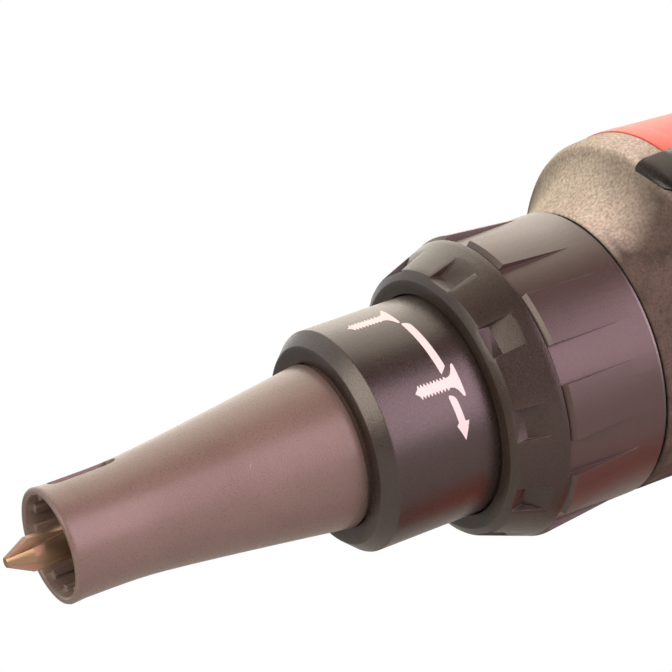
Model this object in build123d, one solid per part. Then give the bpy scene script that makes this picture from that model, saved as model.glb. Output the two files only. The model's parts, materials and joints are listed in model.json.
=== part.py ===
from build123d import *
import math
import os

# Frame: +X runs forward out of the nose, +Y to the tool's left, +Z up, millimetres.
# The origin is the middle of the battery's underside. Places along the spindle are
# given as s, the distance behind the nose rim.
NOSE_REACH = 168.0  # nose rim in front of the middle of the battery

# Fits
RUN = 0.05  # radial play of a turning fit
FREE = 0.3  # gap between pieces that pass each other
SEAT = 0.15  # gap round a piece that sits in a moulded pocket
OVERCUT = 1.0  # how far a cut runs past the face that it opens
ROOT = 0.6  # how far a raised feature is sunk into its wall

# Bit
BIT_OUT = 8.2  # tip in front of the nose rim
BIT_LENGTH = 50.0
BIT_FLATS = 6.35
BIT_BLADE_R = 3.1
BIT_TIP_R = 0.9
BIT_TIP_HALF_ANGLE = 26.5
BIT_BLADE_LENGTH = 14.0
BIT_BLADE_TAPER = 2.5
BIT_FLUTE_SHORT = 2.0  # flutes end this far before the blade
BIT_WING = 1.25  # thickness of a wing at the tip
BIT_GROOVE_R = 2.6
BIT_GROOVE_FROM_END = 8.0
BIT_GROOVE_WIDTH = 3.5

# Nose cone
NOSE_LENGTH = 54.4  # rim to the depth sleeve
NOSE_RIM_R = 10.5
NOSE_RIM_LIP = 1.6
NOSE_RIM_ROUND = 0.5
NOSE_MOUTH_DEPTH = 1.0
NOSE_MOUTH_FLARE = 0.7
NOSE_NECK_STEP = 0.25  # neck inside the rim
NOSE_NECK_LENGTH = 14.0
NOSE_RISE = 5.05  # back of the flare outside the neck
NOSE_WALL = 2.0
NOSE_FLARE_S = 26.0  # a point of the flare, and its height over the neck
NOSE_FLARE_RISE = 1.3
NOSE_BACK_SLOPE = 0.11  # rise of the flare where it meets the sleeve
NOSE_GAP = 0.6  # between nose and sleeve
NOSE_SKIRT_LENGTH = 11.5
NOSE_SKIRT_STEP = 0.3
NOSE_RIB_COUNT = 12
NOSE_RIB_HEIGHT = 0.45
NOSE_RIB_WIDTH = 1.3
NOSE_RIB_PHASE = 15.0
SLOT_START = 2.8
SLOT_LENGTH = 11.2
SLOT_WIDTH = 3.6
O_RING_WIRE_R = 0.9
O_RING_FROM_END = 4.5

# Depth sleeve, the drum that carries the nose cone
SLEEVE_RIM = 5.4  # bore to outside
SLEEVE_BEVEL = 2.2
SLEEVE_CHAMFER = 2.5
SLEEVE_SHOWN = 23.6  # length in front of the notched ring
SLEEVE_LENGTH = 45.0
SLEEVE_WALL = 2.1
SLEEVE_WEB = 3.0
SLEEVE_HUB_WALL = 2.2
SLEEVE_TRAVEL = 4.0  # each way
KEY_WIDTH = 3.0
KEY_HEIGHT = 1.0
KEY_LENGTH = 24.0

# Notched ring and grip collar, which turn together
RING_LENGTH = 10.7
RING_FACE = 2.6  # bore to the edge of the front face
RING_SHOULDER_RISE = 1.6
RING_SHOULDER = 1.0
RING_CROWN_RISE = 0.4  # over the ring's back edge
RING_CROWN_FROM_END = 3.3
RING_STEP = 0.5  # ring's back edge over the collar
RING_SWELL = 0.65  # bulge between shoulder and crown
NOTCH_COUNT = 10
NOTCH_WIDTH = 6.0
NOTCH_LENGTH = 5.7
NOTCH_DEPTH = 3.6
NOTCH_LEAD = 0.3  # starts this far in front of the shoulder
NOTCH_FRONT_DEPTH = 0.4
NOTCH_VALLEY = 2.2  # valley line behind the notch's front edge
NOTCH_PHASE = 26.8  # degrees from the top towards the left side
COLLAR_LENGTH = 20.2
COLLAR_WALL = 3.4
LAND_LENGTH = 15.2
LAND_HEIGHT = 1.2
LAND_CHAMFER = 1.2
LAND_WIDTH = 21.0  # degrees
WASHER_THICKNESS = 0.8
WASHER_INSET = 0.8  # inside the collar's outside
AXIAL_PLAY = 0.15
CLIP_WIDTH = 1.2
CLIP_REACH = 1.3
CLIP_DEPTH = 0.8
CLIP_GAP = 5.0
CLIP_FROM_EDGE = 0.7
JOURNAL_SETBACK = 0.5  # journal's front edge behind the ring

# Spindle and dog clutch
SPINDLE_R = 6.4
SPINDLE_CHAMFER = 1.0
SOCKET_DEPTH = 18.0
SOCKET_PLAY = 0.05
MAGNET_R = 2.9
MAGNET_LENGTH = 3.8
SPINDLE_FLANGE_R = 9.4
SPINDLE_FLANGE = 4.0
SPINDLE_JOURNAL_R = 4.0
PUSH_TRAVEL = 2.5
DOG_HEIGHT = 2.5
DOG_COUNT = 3
DOG_ANGLE = 50.0
DOG_INNER_R = 6.3
SPRING_WIRE_R = 0.4
SPRING_TURNS = 3
TRIGGER_SPRING_R = 3.5
TRIGGER_SPRING_TURNS = 4
LATCH_SPRING_R = 2.5
LATCH_SPRING_TURNS = 2

# Gear case
TUBE_R = 11.5
TUBE_AHEAD = 6.0  # tube in front of the depth sleeve's face
BUSH_R = 8.5
BUSH_LENGTH = 16.0
SEAL_LENGTH = 3.0
SEAL_LIP = 1.0
SEAL_SETBACK = 0.3  # behind the end of the tube
BUSH_GAP = 0.2  # between seal and bush
JOURNAL_PLAY = 0.6  # round the sleeve
JOURNAL_WALL = 2.7
HUB_WALL = 2.8
CASE_WEB = 3.0
CASE_FACE = 2.0
CASE_BOSS_R = 2.9
CASE_SCREW_R = 1.5
CASE_SCREW_HEAD_R = 2.7
CASE_SCREW_HEAD = 2.0
CASE_SCREW_LENGTH = 10.0
CASE_SCREW_COUNT = 4
CASE_SCREW_PHASE = 45.0
CASE_BOSS_SINK = 1.0  # screw bosses sunk into the case wall
CHAMBER_PLAY = 0.5  # round the spindle's flange
PLATE_THICKNESS = 3.0

# Spur gears, motor pinion above the spindle
GEAR_MODULE = 0.6
PINION_TEETH = 10
GEAR_TEETH = 30
PRESSURE_ANGLE = 20.0
GEAR_ADDENDUM = 0.4
PINION_ADDENDUM = 0.6
TOOTH_CLEARANCE = 0.2
BACKLASH = 0.1
GEAR_WIDTH = 8.0
GEAR_HUB_R = 6.0
GEAR_BEARING_R = 10.5
GEAR_BEARING_WIDTH = 5.0
GEAR_BEARING_SETBACK = 0.6  # behind the housing's mouth
GEAR_FLANGE = 1.8
GEAR_GAP = 1.8  # between bearing and teeth
GEAR_WASHER = 1.8
GEAR_WASHER_MARGIN = 0.5  # inside the roots of the teeth
PINION_OVERHANG = 0.5
FLANK_STEPS = 4

# Motor
SHAFT_R = 2.5
SHAFT_END = 1.5  # behind the rear bearing
SHAFT_LEAD = 1.0  # in front of the gear
PINION_SHAFT_R = 1.55
MOTOR_BEARING_R = 8.0
MOTOR_BEARING_WIDTH = 5.0
BEARING_BOSS_WALL = 2.0
BEARING_LIP = 1.0  # of the rib that holds the rear bearing
FAN_R = 19.0
FAN_LENGTH = 9.0
FAN_DISC = 1.4
FAN_HUB_R = 5.0
FAN_BLADES = 11
FAN_BLADE = 1.2
FAN_BLADE_SWEEP = 25.0  # degrees
FAN_GAP = 2.5  # behind the front bearing
FAN_TO_COILS = 2.0
ROTOR_R = 10.4
AIR_GAP = 0.5
ROTOR_OVERHANG = 1.0
STATOR_R = 19.0
STATOR_LENGTH = 26.0
STATOR_YOKE = 3.4
STATOR_TEETH = 6
TOOTH_WIDTH = 5.0
SHOE_THICKNESS = 1.6
SHOE_GAP = 2.6
COIL_THICKNESS = 2.0
COIL_OVERHANG = 4.0
SENSOR_BOARD = 1.6
SENSOR_BOARD_BORE = 6.0
SENSOR_ROOM = 5.0  # between sensor board and rear bearing

# Housing barrel
WALL = 2.6
SKIN = 1.5  # rubber overmould
BARREL_LIFT = 5.2  # barrel axis above the spindle axis
MOUTH_STEP = 0.1  # mouth inside the collar's outside
SADDLE_LENGTH = 16.0  # mouth to the crest of the ridge
SADDLE_STEPS = 5
RIDGE_RISE = 5.3  # over the mouth
TAIL_ROOM = 30.5  # behind the rear bearing
TAIL_ROUND = 18.0
TAIL_TAPER = 4.1
TAIL_END_R = 13.0
TAIL_ARC = (0.36, 0.27)  # middle of the tail's arc, as shares of its length and drop
BOOT_LENGTH = 20.4  # rubber front boot, back to the red cover
VENT_WIDTH = 2.2
VENT_PITCH = 4.4
VENT_COUNT = 4
VENT_HEIGHT = 20.0
VENT_DEPTH = 24.0
VENT_SINK = 2.0
FAN_VENT_DROP = 6.0  # below the spindle axis
TAIL_VENT_DROP = 8.0
FAN_VENT_LEAD = 1.0
TAIL_VENT_LEAD = 3.0
RIB = 2.5
RIB_INSET = 2.0  # stator ribs from the stator's ends
SHELF = 2.0
SHELF_SETBACK = 4.0  # behind the switch's front
SWITCH_SHELVES = (4.0, 20.0)  # above the switch's bottom
BOARD_SHELF_RISE = 10.0
LEAD_WAY = 12.0  # width of the way for the leads
LEAD_WAY_FORWARD = 8.0

# Grip
GRIP_LENGTH = 86.0  # lowest section up to the one inside the barrel
GRIP_RAKE = 13.0  # how far the top stands in front of the bottom
GRIP_SETBACK = 27.0  # middle of the lowest section behind the middle of the battery
GRIP_SINK = 18.0  # highest section below the spindle axis
GRIP_ROUND = 0.42  # corner radius as a share of the width
# Share of the grip's length, depth and width of each section
GRIP_SECTIONS = [(0.0, 46.0, 36.0), (0.35, 47.0, 37.5), (0.72, 45.0, 36.0), (1.0, 50.0, 40.0)]
PAD_ABOVE_FOOT = 4.0
PAD_BELOW_TRIGGER = 2.0
PAD_BACK_DROP = 14.0
PAD_BACK_LEAD = 1.0

# Foot and battery
FOOT_CORNER = 14.0
FOOT_SIDE = 20.0  # height of the foot's upright side
FOOT_TOP_SLOPE = 6.0
FOOT_TOP_INSET = 10.0
FOOT_NECK = 10.0
NECK_LONGER = 14.0  # neck beyond the grip's lowest section
NECK_WIDER = 8.0
NECK_FORWARD = 3.0
FOOT_BLEND = 6.6  # neck up to the grip
BATTERY_CORNER = 10.0
BATTERY_WALL = 2.4
BATTERY_EDGE = 0.8  # fillet round the underside
BATTERY_SPLIT = 17.0
BATTERY_GAP = 0.4
TOWER_NECK = 39.0
TOWER_FLANGE = 3.5
TOWER_HEIGHT = 13.0
TOWER_LIP = 5.0
TOWER_REACH = 42.0  # back of the rail block behind the middle
TOWER_SETBACK = 4.0  # behind the front of the battery
CELL_R = 9.2
CELL_LENGTH = 65.0
CELL_GAP = 1.2  # between neighbours
CELL_LIFT = 1.0  # above the battery's floor
CELL_SIDE_ROOM = 4.5
CELL_END_ROOM = 10.0
HOLDER_INSET = 11.0  # cell holder inside each end of the cells
HOLDER_DROP = 1.0  # its cradle below the middle of the cells
COMB = 4.0
BOARD_ABOVE_CELLS = 0.8
BOARD_INSET = 4.0
CELL_COUNT = 5
BOARD = 1.6
BLADE_COUNT = 3
BLADE_PITCH = 11.0
BLADE_THICKNESS = 0.8
BLADE_HEIGHT = 6.0
BLADE_LENGTH = 9.0
TERMINAL_DEPTH = 8.0
TERMINAL_MARGIN = 2.0
TERMINAL_RISE = 2.0  # above the foot's underside
CLIP_THICKNESS = 0.7
CLIP_SETBACK = 1.0
LATCH_LENGTH = 18.0
LATCH_HEIGHT = 7.0
LATCH_DEPTH = 7.0
LATCH_PROUD = 1.2
LATCH_TRAVEL = 3.0
LATCH_SPARE = 0.5
LATCH_ABOVE_CELLS = 2.2
LATCH_ROOF = 3.0  # latch to the top of the battery
LATCH_CUP = 1.7
LATCH_EDGE = 1.0
LATCH_PLACE = 36.0
GAUGE_BUTTON_R = 3.2
GAUGE_TRAVEL = 0.8  # stands proud by this much
GAUGE_BACK = 0.6  # inside the battery's wall
GAUGE_EDGE = 0.5
BATTERY_SCREW_R = 1.5
BATTERY_SCREW_HEAD_R = 2.8
BATTERY_SCREW_HEAD = 2.0
BATTERY_SCREW_SUNK = 1.0
BATTERY_SCREW_BITE = 6.0  # length in the upper case
BATTERY_BOSS_R = 3.6
BATTERY_BOSS_SINK = 0.4
BATTERY_FLOOR = 1.0

# Trigger group
TRIGGER_TRAVEL = 7.0
TRIGGER_WIDTH = 17.0
TRIGGER_HEIGHT = 28.0
TRIGGER_DROP = 17.0  # top of the trigger below the grip's top section
TRIGGER_REACH = 9.0  # in front of the grip
TRIGGER_BODY = 14.0
TRIGGER_HOOK = 1.0  # ends of the finger rest in front of the body
TRIGGER_HOLLOW = 3.0
TRIGGER_TOE = 4.0
TRIGGER_BROW = 3.0
TRIGGER_EDGE = 3.0
SWITCH_SPARE = 1.0
SWITCH_LENGTH = 25.0
SWITCH_WIDTH = 19.0
SWITCH_TOP_DROP = 2.0
SHUTTLE_SHOWN = 1.0  # left standing proud when pushed in
SHUTTLE_DEPTH = 10.0
SHUTTLE_HEIGHT = 6.0
SHUTTLE_DROP = 12.0
SHUTTLE_SETBACK = 6.0  # behind the front of the grip
SHUTTLE_TRAVEL = 3.0
SHUTTLE_EDGE = 1.2
LOCK_R = 4.5
LOCK_DROP = 28.0
LOCK_SETBACK = 7.0
LOCK_TRAVEL = 2.5
LOCK_SHOWN = 0.5  # left standing proud when pressed
LOCK_EDGE = 1.0
LENS_WIDTH = 14.0
LENS_HEIGHT = 4.0
LENS_DEPTH = 3.0
LENS_PROUD = 0.4
LENS_RISE = 1.0  # above the battery way
LENS_CORNER = 1.2
CONTROL_BOARD_DROP = 2.0  # below the switch
CONTROL_BOARD_DEPTH = 22.0
CONTROL_BOARD_RISE = 9.0
CONTROL_BOARD_BACK = 2.0
CONTROL_BOARD_SIDE = 2.4
SCREW_R = 1.6
SCREW_HEAD_R = 3.0
SCREW_HEAD = 2.4
SCREW_BOSS_R = 3.6
SCREW_SUNK = 4.5  # head below the surface beside it
SCREW_SHORT = 2.0  # shank ends inside the left half
FOOT_SCREW_INSET = 19.0
FOOT_SCREW_DROP = 0.5
BARREL_SCREW_RISE = 0.74  # heights in the barrel as shares of its radius there
BARREL_SCREW_DROP = 0.58
TAIL_SCREW_DROP = 0.7
TAIL_SCREW_LEAD = 2.0
GRIP_TOP_SCREW = (13.0, -10.0)  # below the grip's top, and forward
TRIGGER_SCREW = (8.0, 12.0)  # below the trigger, and forward
GRIP_LOW_SCREW = (4.0, 0.0)  # above the grip's bottom, and forward
INSERT_R = 3.2
INSERT_BORE_R = 2.0
INSERT_LENGTH = 8.0
INSERT_FORWARD = 34.0
INSERT_RISE = 8.6

# Places along the spindle, each worked out from the piece in front of it
SLEEVE_S = NOSE_LENGTH + NOSE_GAP
SKIRT_END = NOSE_LENGTH + NOSE_SKIRT_LENGTH
SLEEVE_WEB_S = SKIRT_END + FREE
SLEEVE_END = SLEEVE_S + SLEEVE_LENGTH
RING_S = SLEEVE_S + SLEEVE_SHOWN
COLLAR_S = RING_S + RING_LENGTH
COLLAR_END = COLLAR_S + COLLAR_LENGTH
WASHER_S = COLLAR_END + AXIAL_PLAY
MOUTH_S = WASHER_S + WASHER_THICKNESS + AXIAL_PLAY
TUBE_S = SLEEVE_S - TUBE_AHEAD
SEAL_S = TUBE_S + SEAL_SETBACK
BUSH_S = SEAL_S + SEAL_LENGTH + BUSH_GAP
BUSH_END = BUSH_S + BUSH_LENGTH
JOURNAL_S = COLLAR_S + JOURNAL_SETBACK
CLIP_S = JOURNAL_S + CLIP_FROM_EDGE
CLIP_SHOULDER = CLIP_S + CLIP_WIDTH + AXIAL_PLAY
BIT_END = BIT_LENGTH - BIT_OUT
SPINDLE_S = BIT_END + SEAT - SOCKET_DEPTH
GEAR_BEARING_S = MOUTH_S + GEAR_BEARING_SETBACK
GEAR_BEARING_END = GEAR_BEARING_S + GEAR_BEARING_WIDTH
GEAR_FLANGE_S = GEAR_BEARING_S - GEAR_FLANGE
SPINDLE_FLANGE_END = GEAR_FLANGE_S - DOG_HEIGHT - FREE - PUSH_TRAVEL
CHAMBER_S = SPINDLE_FLANGE_END - SPINDLE_FLANGE - CASE_FACE
HUB_S = CHAMBER_S - CASE_FACE
SLEEVE_HUB_END = HUB_S - SLEEVE_TRAVEL - FREE
GEAR_S = GEAR_BEARING_END + GEAR_GAP
GEAR_END = GEAR_S + GEAR_WIDTH
PLATE_S = GEAR_END + GEAR_WASHER + 2 * AXIAL_PLAY
PLATE_END = PLATE_S + PLATE_THICKNESS
MOTOR_BEARING_S = PLATE_END + AXIAL_PLAY
MOTOR_BEARING_END = MOTOR_BEARING_S + MOTOR_BEARING_WIDTH
FAN_S = MOTOR_BEARING_END + FAN_GAP
FAN_END = FAN_S + FAN_LENGTH
STATOR_S = FAN_END + FAN_TO_COILS + COIL_OVERHANG
STATOR_END = STATOR_S + STATOR_LENGTH
SENSOR_S = STATOR_END + COIL_OVERHANG + SEAT
REAR_BEARING_S = SENSOR_S + SENSOR_BOARD + SENSOR_ROOM
REAR_BEARING_END = REAR_BEARING_S + MOTOR_BEARING_WIDTH
RIDGE_S = MOUTH_S + SADDLE_LENGTH
TAIL_S = REAR_BEARING_END + TAIL_ROOM
TAIL_ROUND_S = TAIL_S - TAIL_ROUND
BOOT_END = MOUTH_S + BOOT_LENGTH

# Radii and heights worked out from the sizes above
NOSE_NECK_R = NOSE_RIM_R - NOSE_NECK_STEP
NOSE_FLARE_R = NOSE_NECK_R + NOSE_FLARE_RISE
NOSE_BACK_R = NOSE_NECK_R + NOSE_RISE
SLEEVE_BORE_R = NOSE_BACK_R - NOSE_SKIRT_STEP + FREE
SLEEVE_R = SLEEVE_BORE_R + SLEEVE_RIM
SLEEVE_FACE_R = SLEEVE_R - SLEEVE_BEVEL
RING_BORE_R = SLEEVE_R + FREE
RING_FACE_R = RING_BORE_R + RING_FACE
RING_SHOULDER_R = RING_FACE_R + RING_SHOULDER_RISE
JOURNAL_BORE_R = SLEEVE_R + JOURNAL_PLAY
JOURNAL_R = JOURNAL_BORE_R + JOURNAL_WALL
COLLAR_R = JOURNAL_R + COLLAR_WALL
RING_BACK_R = COLLAR_R + RING_STEP
RING_CROWN_R = RING_BACK_R + RING_CROWN_RISE
WASHER_R = COLLAR_R - WASHER_INSET
MOUTH_R = COLLAR_R - MOUTH_STEP
RIDGE_R = MOUTH_R + RIDGE_RISE
TAIL_R = RIDGE_R - TAIL_TAPER
GEAR_PITCH_R = GEAR_MODULE * GEAR_TEETH / 2
PINION_PITCH_R = GEAR_MODULE * PINION_TEETH / 2
MOTOR_LIFT = GEAR_PITCH_R + PINION_PITCH_R
GEAR_TIP_R = GEAR_PITCH_R + GEAR_ADDENDUM
PINION_TIP_R = PINION_PITCH_R + PINION_ADDENDUM
GEAR_ROOT_R = MOTOR_LIFT - PINION_TIP_R - TOOTH_CLEARANCE
PINION_ROOT_R = MOTOR_LIFT - GEAR_TIP_R - TOOTH_CLEARANCE
CHAMBER_R = SPINDLE_FLANGE_R + CHAMBER_PLAY
HUB_R = CHAMBER_R + HUB_WALL
SLEEVE_HUB_BORE_R = TUBE_R + FREE
CLIP_R = JOURNAL_R + CLIP_REACH
CASE_BOSS_PLACE_R = JOURNAL_BORE_R - CASE_BOSS_R + CASE_BOSS_SINK
STATOR_BORE_R = ROTOR_R + AIR_GAP
CELL_PITCH = 2 * CELL_R + CELL_GAP
CELL_Z = BATTERY_WALL + CELL_LIFT + CELL_R
BATTERY_BOARD_Z = CELL_Z + CELL_R + BOARD_ABOVE_CELLS
LATCH_Z = CELL_Z + CELL_R + LATCH_ABOVE_CELLS
BATTERY_HEIGHT = LATCH_Z + LATCH_HEIGHT + LATCH_ROOF
BATTERY_LENGTH = CELL_COUNT * CELL_PITCH + 2 * CELL_END_ROOM
BATTERY_WIDTH = CELL_LENGTH + 2 * CELL_SIDE_ROOM
FOOT_Z = BATTERY_HEIGHT + BATTERY_GAP
FOOT_SHOULDER_Z = FOOT_Z + FOOT_SIDE
FOOT_TOP_Z = FOOT_SHOULDER_Z + FOOT_TOP_SLOPE
FOOT_NECK_Z = FOOT_TOP_Z + FOOT_NECK
TOWER_WIDTH = TOWER_NECK + 2 * TOWER_FLANGE
TOWER_TOP_Z = BATTERY_HEIGHT + TOWER_HEIGHT
TOWER_LIP_Z = TOWER_TOP_Z - TOWER_LIP
GRIP_BOTTOM_Z = FOOT_NECK_Z + FOOT_BLEND
GRIP_TOP_Z = GRIP_BOTTOM_Z + GRIP_LENGTH
AXIS_HEIGHT = GRIP_TOP_Z + GRIP_SINK
TRIGGER_TOP = GRIP_TOP_Z - TRIGGER_DROP
TRIGGER_BOTTOM = TRIGGER_TOP - TRIGGER_HEIGHT
SHUTTLE_Z = GRIP_TOP_Z - SHUTTLE_DROP
LOCK_Z = GRIP_TOP_Z - LOCK_DROP
TOWER_FRONT = BATTERY_LENGTH / 2 - TOWER_SETBACK
TOWER_BACK = -TOWER_REACH
SWITCH_GAP = TRIGGER_TRAVEL + SWITCH_SPARE
FAR = 400.0  # longer than the tool, for cutting it in half


def along(s):
    """Place on the X axis of a point s behind the nose rim."""
    return NOSE_REACH - s


def on_axis(solid, lift=0.0):
    """Lift a solid built round the X axis to the spindle axis, or lift above it."""
    return Pos(0, 0, AXIS_HEIGHT + lift) * solid


def turned(outline, arc=360.0):
    """Solid of revolution round the X axis from (s, r) points."""
    corners = [Vector(along(s), r, 0) for s, r in outline]
    return revolve(Face(Wire.make_polygon(corners, close=True)), Axis.X, arc)


def ring(start, end, inner, outer):
    return turned([(start, inner), (start, outer), (end, outer), (end, inner)])


def rod(start, end, radius):
    return turned([(start, 0), (start, radius), (end, radius), (end, 0)])


def block(x0, x1, y0, y1, z0, z1):
    """Box between two corners."""
    size = Box(x1 - x0, y1 - y0, z1 - z0)
    return Pos((x0 + x1) / 2, (y0 + y1) / 2, (z0 + z1) / 2) * size


def span(start, end, half_width, low, high):
    """Box from start to end along the spindle, low to high above the axis."""
    return block(along(end), along(start), -half_width, half_width, low, high)


def cross_rod(x, z, y0, y1, radius):
    """Cylinder along Y."""
    return Pos(x, (y0 + y1) / 2, z) * Rot(90, 0, 0) * Cylinder(radius, y1 - y0)


def upright(x, y, z0, z1, radius):
    """Cylinder along Z."""
    return Pos(x, y, (z0 + z1) / 2) * Cylinder(radius, z1 - z0)


def spread(solid, count, phase=0.0):
    """Copies of a solid in turn round the X axis, from the top towards +Y."""
    return [Rot(-phase - 360.0 * k / count, 0, 0) * solid for k in range(count)]


def coil(radius, wire, turns, length):
    """Helical spring along Z from 0 to length."""
    pitch = (length - 2 * wire) / turns
    path = Helix(pitch, length - 2 * wire, radius)
    wire_end = Plane(path @ 0, z_dir=path % 0) * Circle(wire)
    return Pos(0, 0, wire) * sweep(wire_end, path)


def grip_size(z):
    """Middle, depth and width of the grip at a height, between its sections."""
    share = (z - GRIP_BOTTOM_Z) / GRIP_LENGTH
    middle = GRIP_RAKE * share - GRIP_SETBACK
    lower, upper = GRIP_SECTIONS[0], GRIP_SECTIONS[1]
    for below, above in zip(GRIP_SECTIONS, GRIP_SECTIONS[1:]):
        if share >= below[0]:
            lower, upper = below, above
    part = (share - lower[0]) / (upper[0] - lower[0])
    depth = lower[1] + (upper[1] - lower[1]) * part
    width = lower[2] + (upper[2] - lower[2]) * part
    return middle, depth, width


def section(z, inset=0.0):
    """One rounded section of the grip."""
    middle, depth, width = grip_size(z)
    outline = RectangleRounded(depth - 2 * inset, width - 2 * inset, GRIP_ROUND * width - inset)
    return Pos(middle, 0, z) * outline


# Nose


def phillips_bit():
    tip_length = (BIT_BLADE_R - BIT_TIP_R) / math.tan(math.radians(BIT_TIP_HALF_ANGLE))
    tip_end = tip_length - BIT_OUT
    blade_end = BIT_BLADE_LENGTH - BIT_OUT
    taper_end = blade_end + BIT_BLADE_TAPER
    hex_r = BIT_FLATS / math.sqrt(3)
    blade = turned([(-BIT_OUT, 0), (-BIT_OUT, BIT_TIP_R), (tip_end, BIT_BLADE_R),
                    (blade_end, BIT_BLADE_R), (taper_end, hex_r), (taper_end, 0)])
    shank = Plane.YZ * RegularPolygon(hex_r, 6)
    blade += Pos(along(BIT_END), 0, 0) * extrude(shank, BIT_END - taper_end)
    groove_s = BIT_END - BIT_GROOVE_FROM_END - BIT_GROOVE_WIDTH
    blade -= ring(groove_s, groove_s + BIT_GROOVE_WIDTH, BIT_GROOVE_R, hex_r + OVERCUT)
    # Four V flutes leave the wings of the cross, and run out behind the tip
    side = 4 * BIT_BLADE_R
    apex = BIT_WING / math.sqrt(2)
    prism = Pos(0, 0, apex + side / math.sqrt(2)) * Rot(45, 0, 0) * Box(4 * side, side, side)
    run_out = math.degrees(math.atan2(BIT_BLADE_R - apex, BIT_BLADE_LENGTH - BIT_FLUTE_SHORT))
    flute = Pos(along(-BIT_OUT), 0, 0) * Rot(0, run_out, 0) * prism
    for cut in spread(flute, 4, 45):
        blade -= cut
    return on_axis(blade)


def nose_cone():
    bore = NOSE_RIM_R - NOSE_WALL
    skirt_r = NOSE_BACK_R - NOSE_SKIRT_STEP
    back_bore = NOSE_BACK_R - NOSE_WALL
    neck = (along(NOSE_NECK_LENGTH), NOSE_NECK_R)
    back = (along(NOSE_LENGTH), NOSE_BACK_R)
    lip = NOSE_RIM_R - NOSE_NECK_R
    mouth = (along(NOSE_MOUTH_DEPTH), bore)
    front = Polyline(mouth, (along(0), bore + NOSE_MOUTH_FLARE), (along(0), NOSE_RIM_R - NOSE_RIM_ROUND),
                     (along(NOSE_RIM_ROUND), NOSE_RIM_R), (along(NOSE_RIM_LIP), NOSE_RIM_R),
                     (along(NOSE_RIM_LIP + lip), NOSE_NECK_R), neck)
    flare = Spline(neck, (along(NOSE_FLARE_S), NOSE_FLARE_R), back, tangents=[(-1, 0), (-1, NOSE_BACK_SLOPE)])
    inside = Polyline(back, (along(NOSE_LENGTH), skirt_r), (along(SKIRT_END), skirt_r),
                      (along(SKIRT_END), back_bore), (along(NOSE_LENGTH), back_bore),
                      (along(NOSE_NECK_LENGTH), bore), mouth)
    shell = revolve(make_face(front.edges() + flare.edges() + inside.edges()), Axis.X)
    rib = span(SLOT_START, NOSE_NECK_LENGTH, NOSE_RIB_WIDTH / 2, bore - NOSE_RIB_HEIGHT, bore + ROOT)
    for piece in spread(rib, NOSE_RIB_COUNT, NOSE_RIB_PHASE):
        shell += piece
    slot = Pos(along(SLOT_START + SLOT_LENGTH / 2), 0, bore / 2) * SlotOverall(SLOT_LENGTH, SLOT_WIDTH)
    shell -= extrude(slot, NOSE_RIM_R)
    groove_s = SKIRT_END - O_RING_FROM_END
    shell -= ring(groove_s - O_RING_WIRE_R - RUN, groove_s + O_RING_WIRE_R + RUN,
                  skirt_r + FREE - 2 * O_RING_WIRE_R - 2 * RUN, skirt_r + OVERCUT)
    return on_axis(shell)


def nose_o_ring():
    centre_r = SLEEVE_BORE_R - RUN - O_RING_WIRE_R
    hoop = Rot(0, 90, 0) * Torus(centre_r, O_RING_WIRE_R)
    return on_axis(Pos(along(SKIRT_END - O_RING_FROM_END), 0, 0) * hoop)


def depth_sleeve():
    wall_r = SLEEVE_R - SLEEVE_WALL
    hub_r = SLEEVE_HUB_BORE_R + SLEEVE_HUB_WALL
    web_end = SLEEVE_WEB_S + SLEEVE_WEB
    drum = turned([(SLEEVE_S, SLEEVE_BORE_R), (SLEEVE_S, SLEEVE_FACE_R),
                   (SLEEVE_S + SLEEVE_CHAMFER, SLEEVE_R), (SLEEVE_END, SLEEVE_R),
                   (SLEEVE_END, wall_r), (web_end, wall_r), (web_end, hub_r),
                   (SLEEVE_HUB_END, hub_r), (SLEEVE_HUB_END, SLEEVE_HUB_BORE_R),
                   (SLEEVE_WEB_S, SLEEVE_HUB_BORE_R), (SLEEVE_WEB_S, SLEEVE_BORE_R)])
    keyway = span(SLEEVE_WEB_S - OVERCUT, SLEEVE_HUB_END + OVERCUT, KEY_WIDTH / 2 + FREE,
                  0, TUBE_R + KEY_HEIGHT + FREE)
    for cut in spread(keyway, 2):
        drum -= cut
    return on_axis(drum)


def adjuster_ring():
    crown = (along(COLLAR_S - RING_CROWN_FROM_END), RING_CROWN_R)
    shoulder = (along(RING_S + RING_SHOULDER), RING_SHOULDER_R)
    middle = ((crown[0] + shoulder[0]) / 2, (crown[1] + shoulder[1]) / 2 + RING_SWELL)
    front = Polyline((along(RING_S), RING_BORE_R), (along(RING_S), RING_FACE_R), shoulder)
    swell = ThreePointArc(shoulder, middle, crown)
    back = Polyline(crown, (along(COLLAR_S), RING_BACK_R), (along(COLLAR_S), RING_BORE_R),
                    (along(RING_S), RING_BORE_R))
    hoop = revolve(make_face(front.edges() + swell.edges() + back.edges()), Axis.X)
    # Each notch has a short steep floor in front and a long one that runs out behind
    start = RING_S + RING_SHOULDER - NOTCH_LEAD
    end = start + NOTCH_LENGTH
    outside = RING_CROWN_R + OVERCUT
    floor = [(along(start), RING_SHOULDER_R - NOTCH_FRONT_DEPTH),
             (along(start + NOTCH_VALLEY), RING_CROWN_R - NOTCH_DEPTH),
             (along(end), RING_CROWN_R), (along(end), outside), (along(start), outside)]
    profile = Plane.XZ * make_face(Polyline(*floor, close=True))
    notch = extrude(profile, NOTCH_WIDTH / 2, both=True)
    for cut in spread(notch, NOTCH_COUNT, NOTCH_PHASE):
        hoop -= cut
    return on_axis(hoop)


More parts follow.
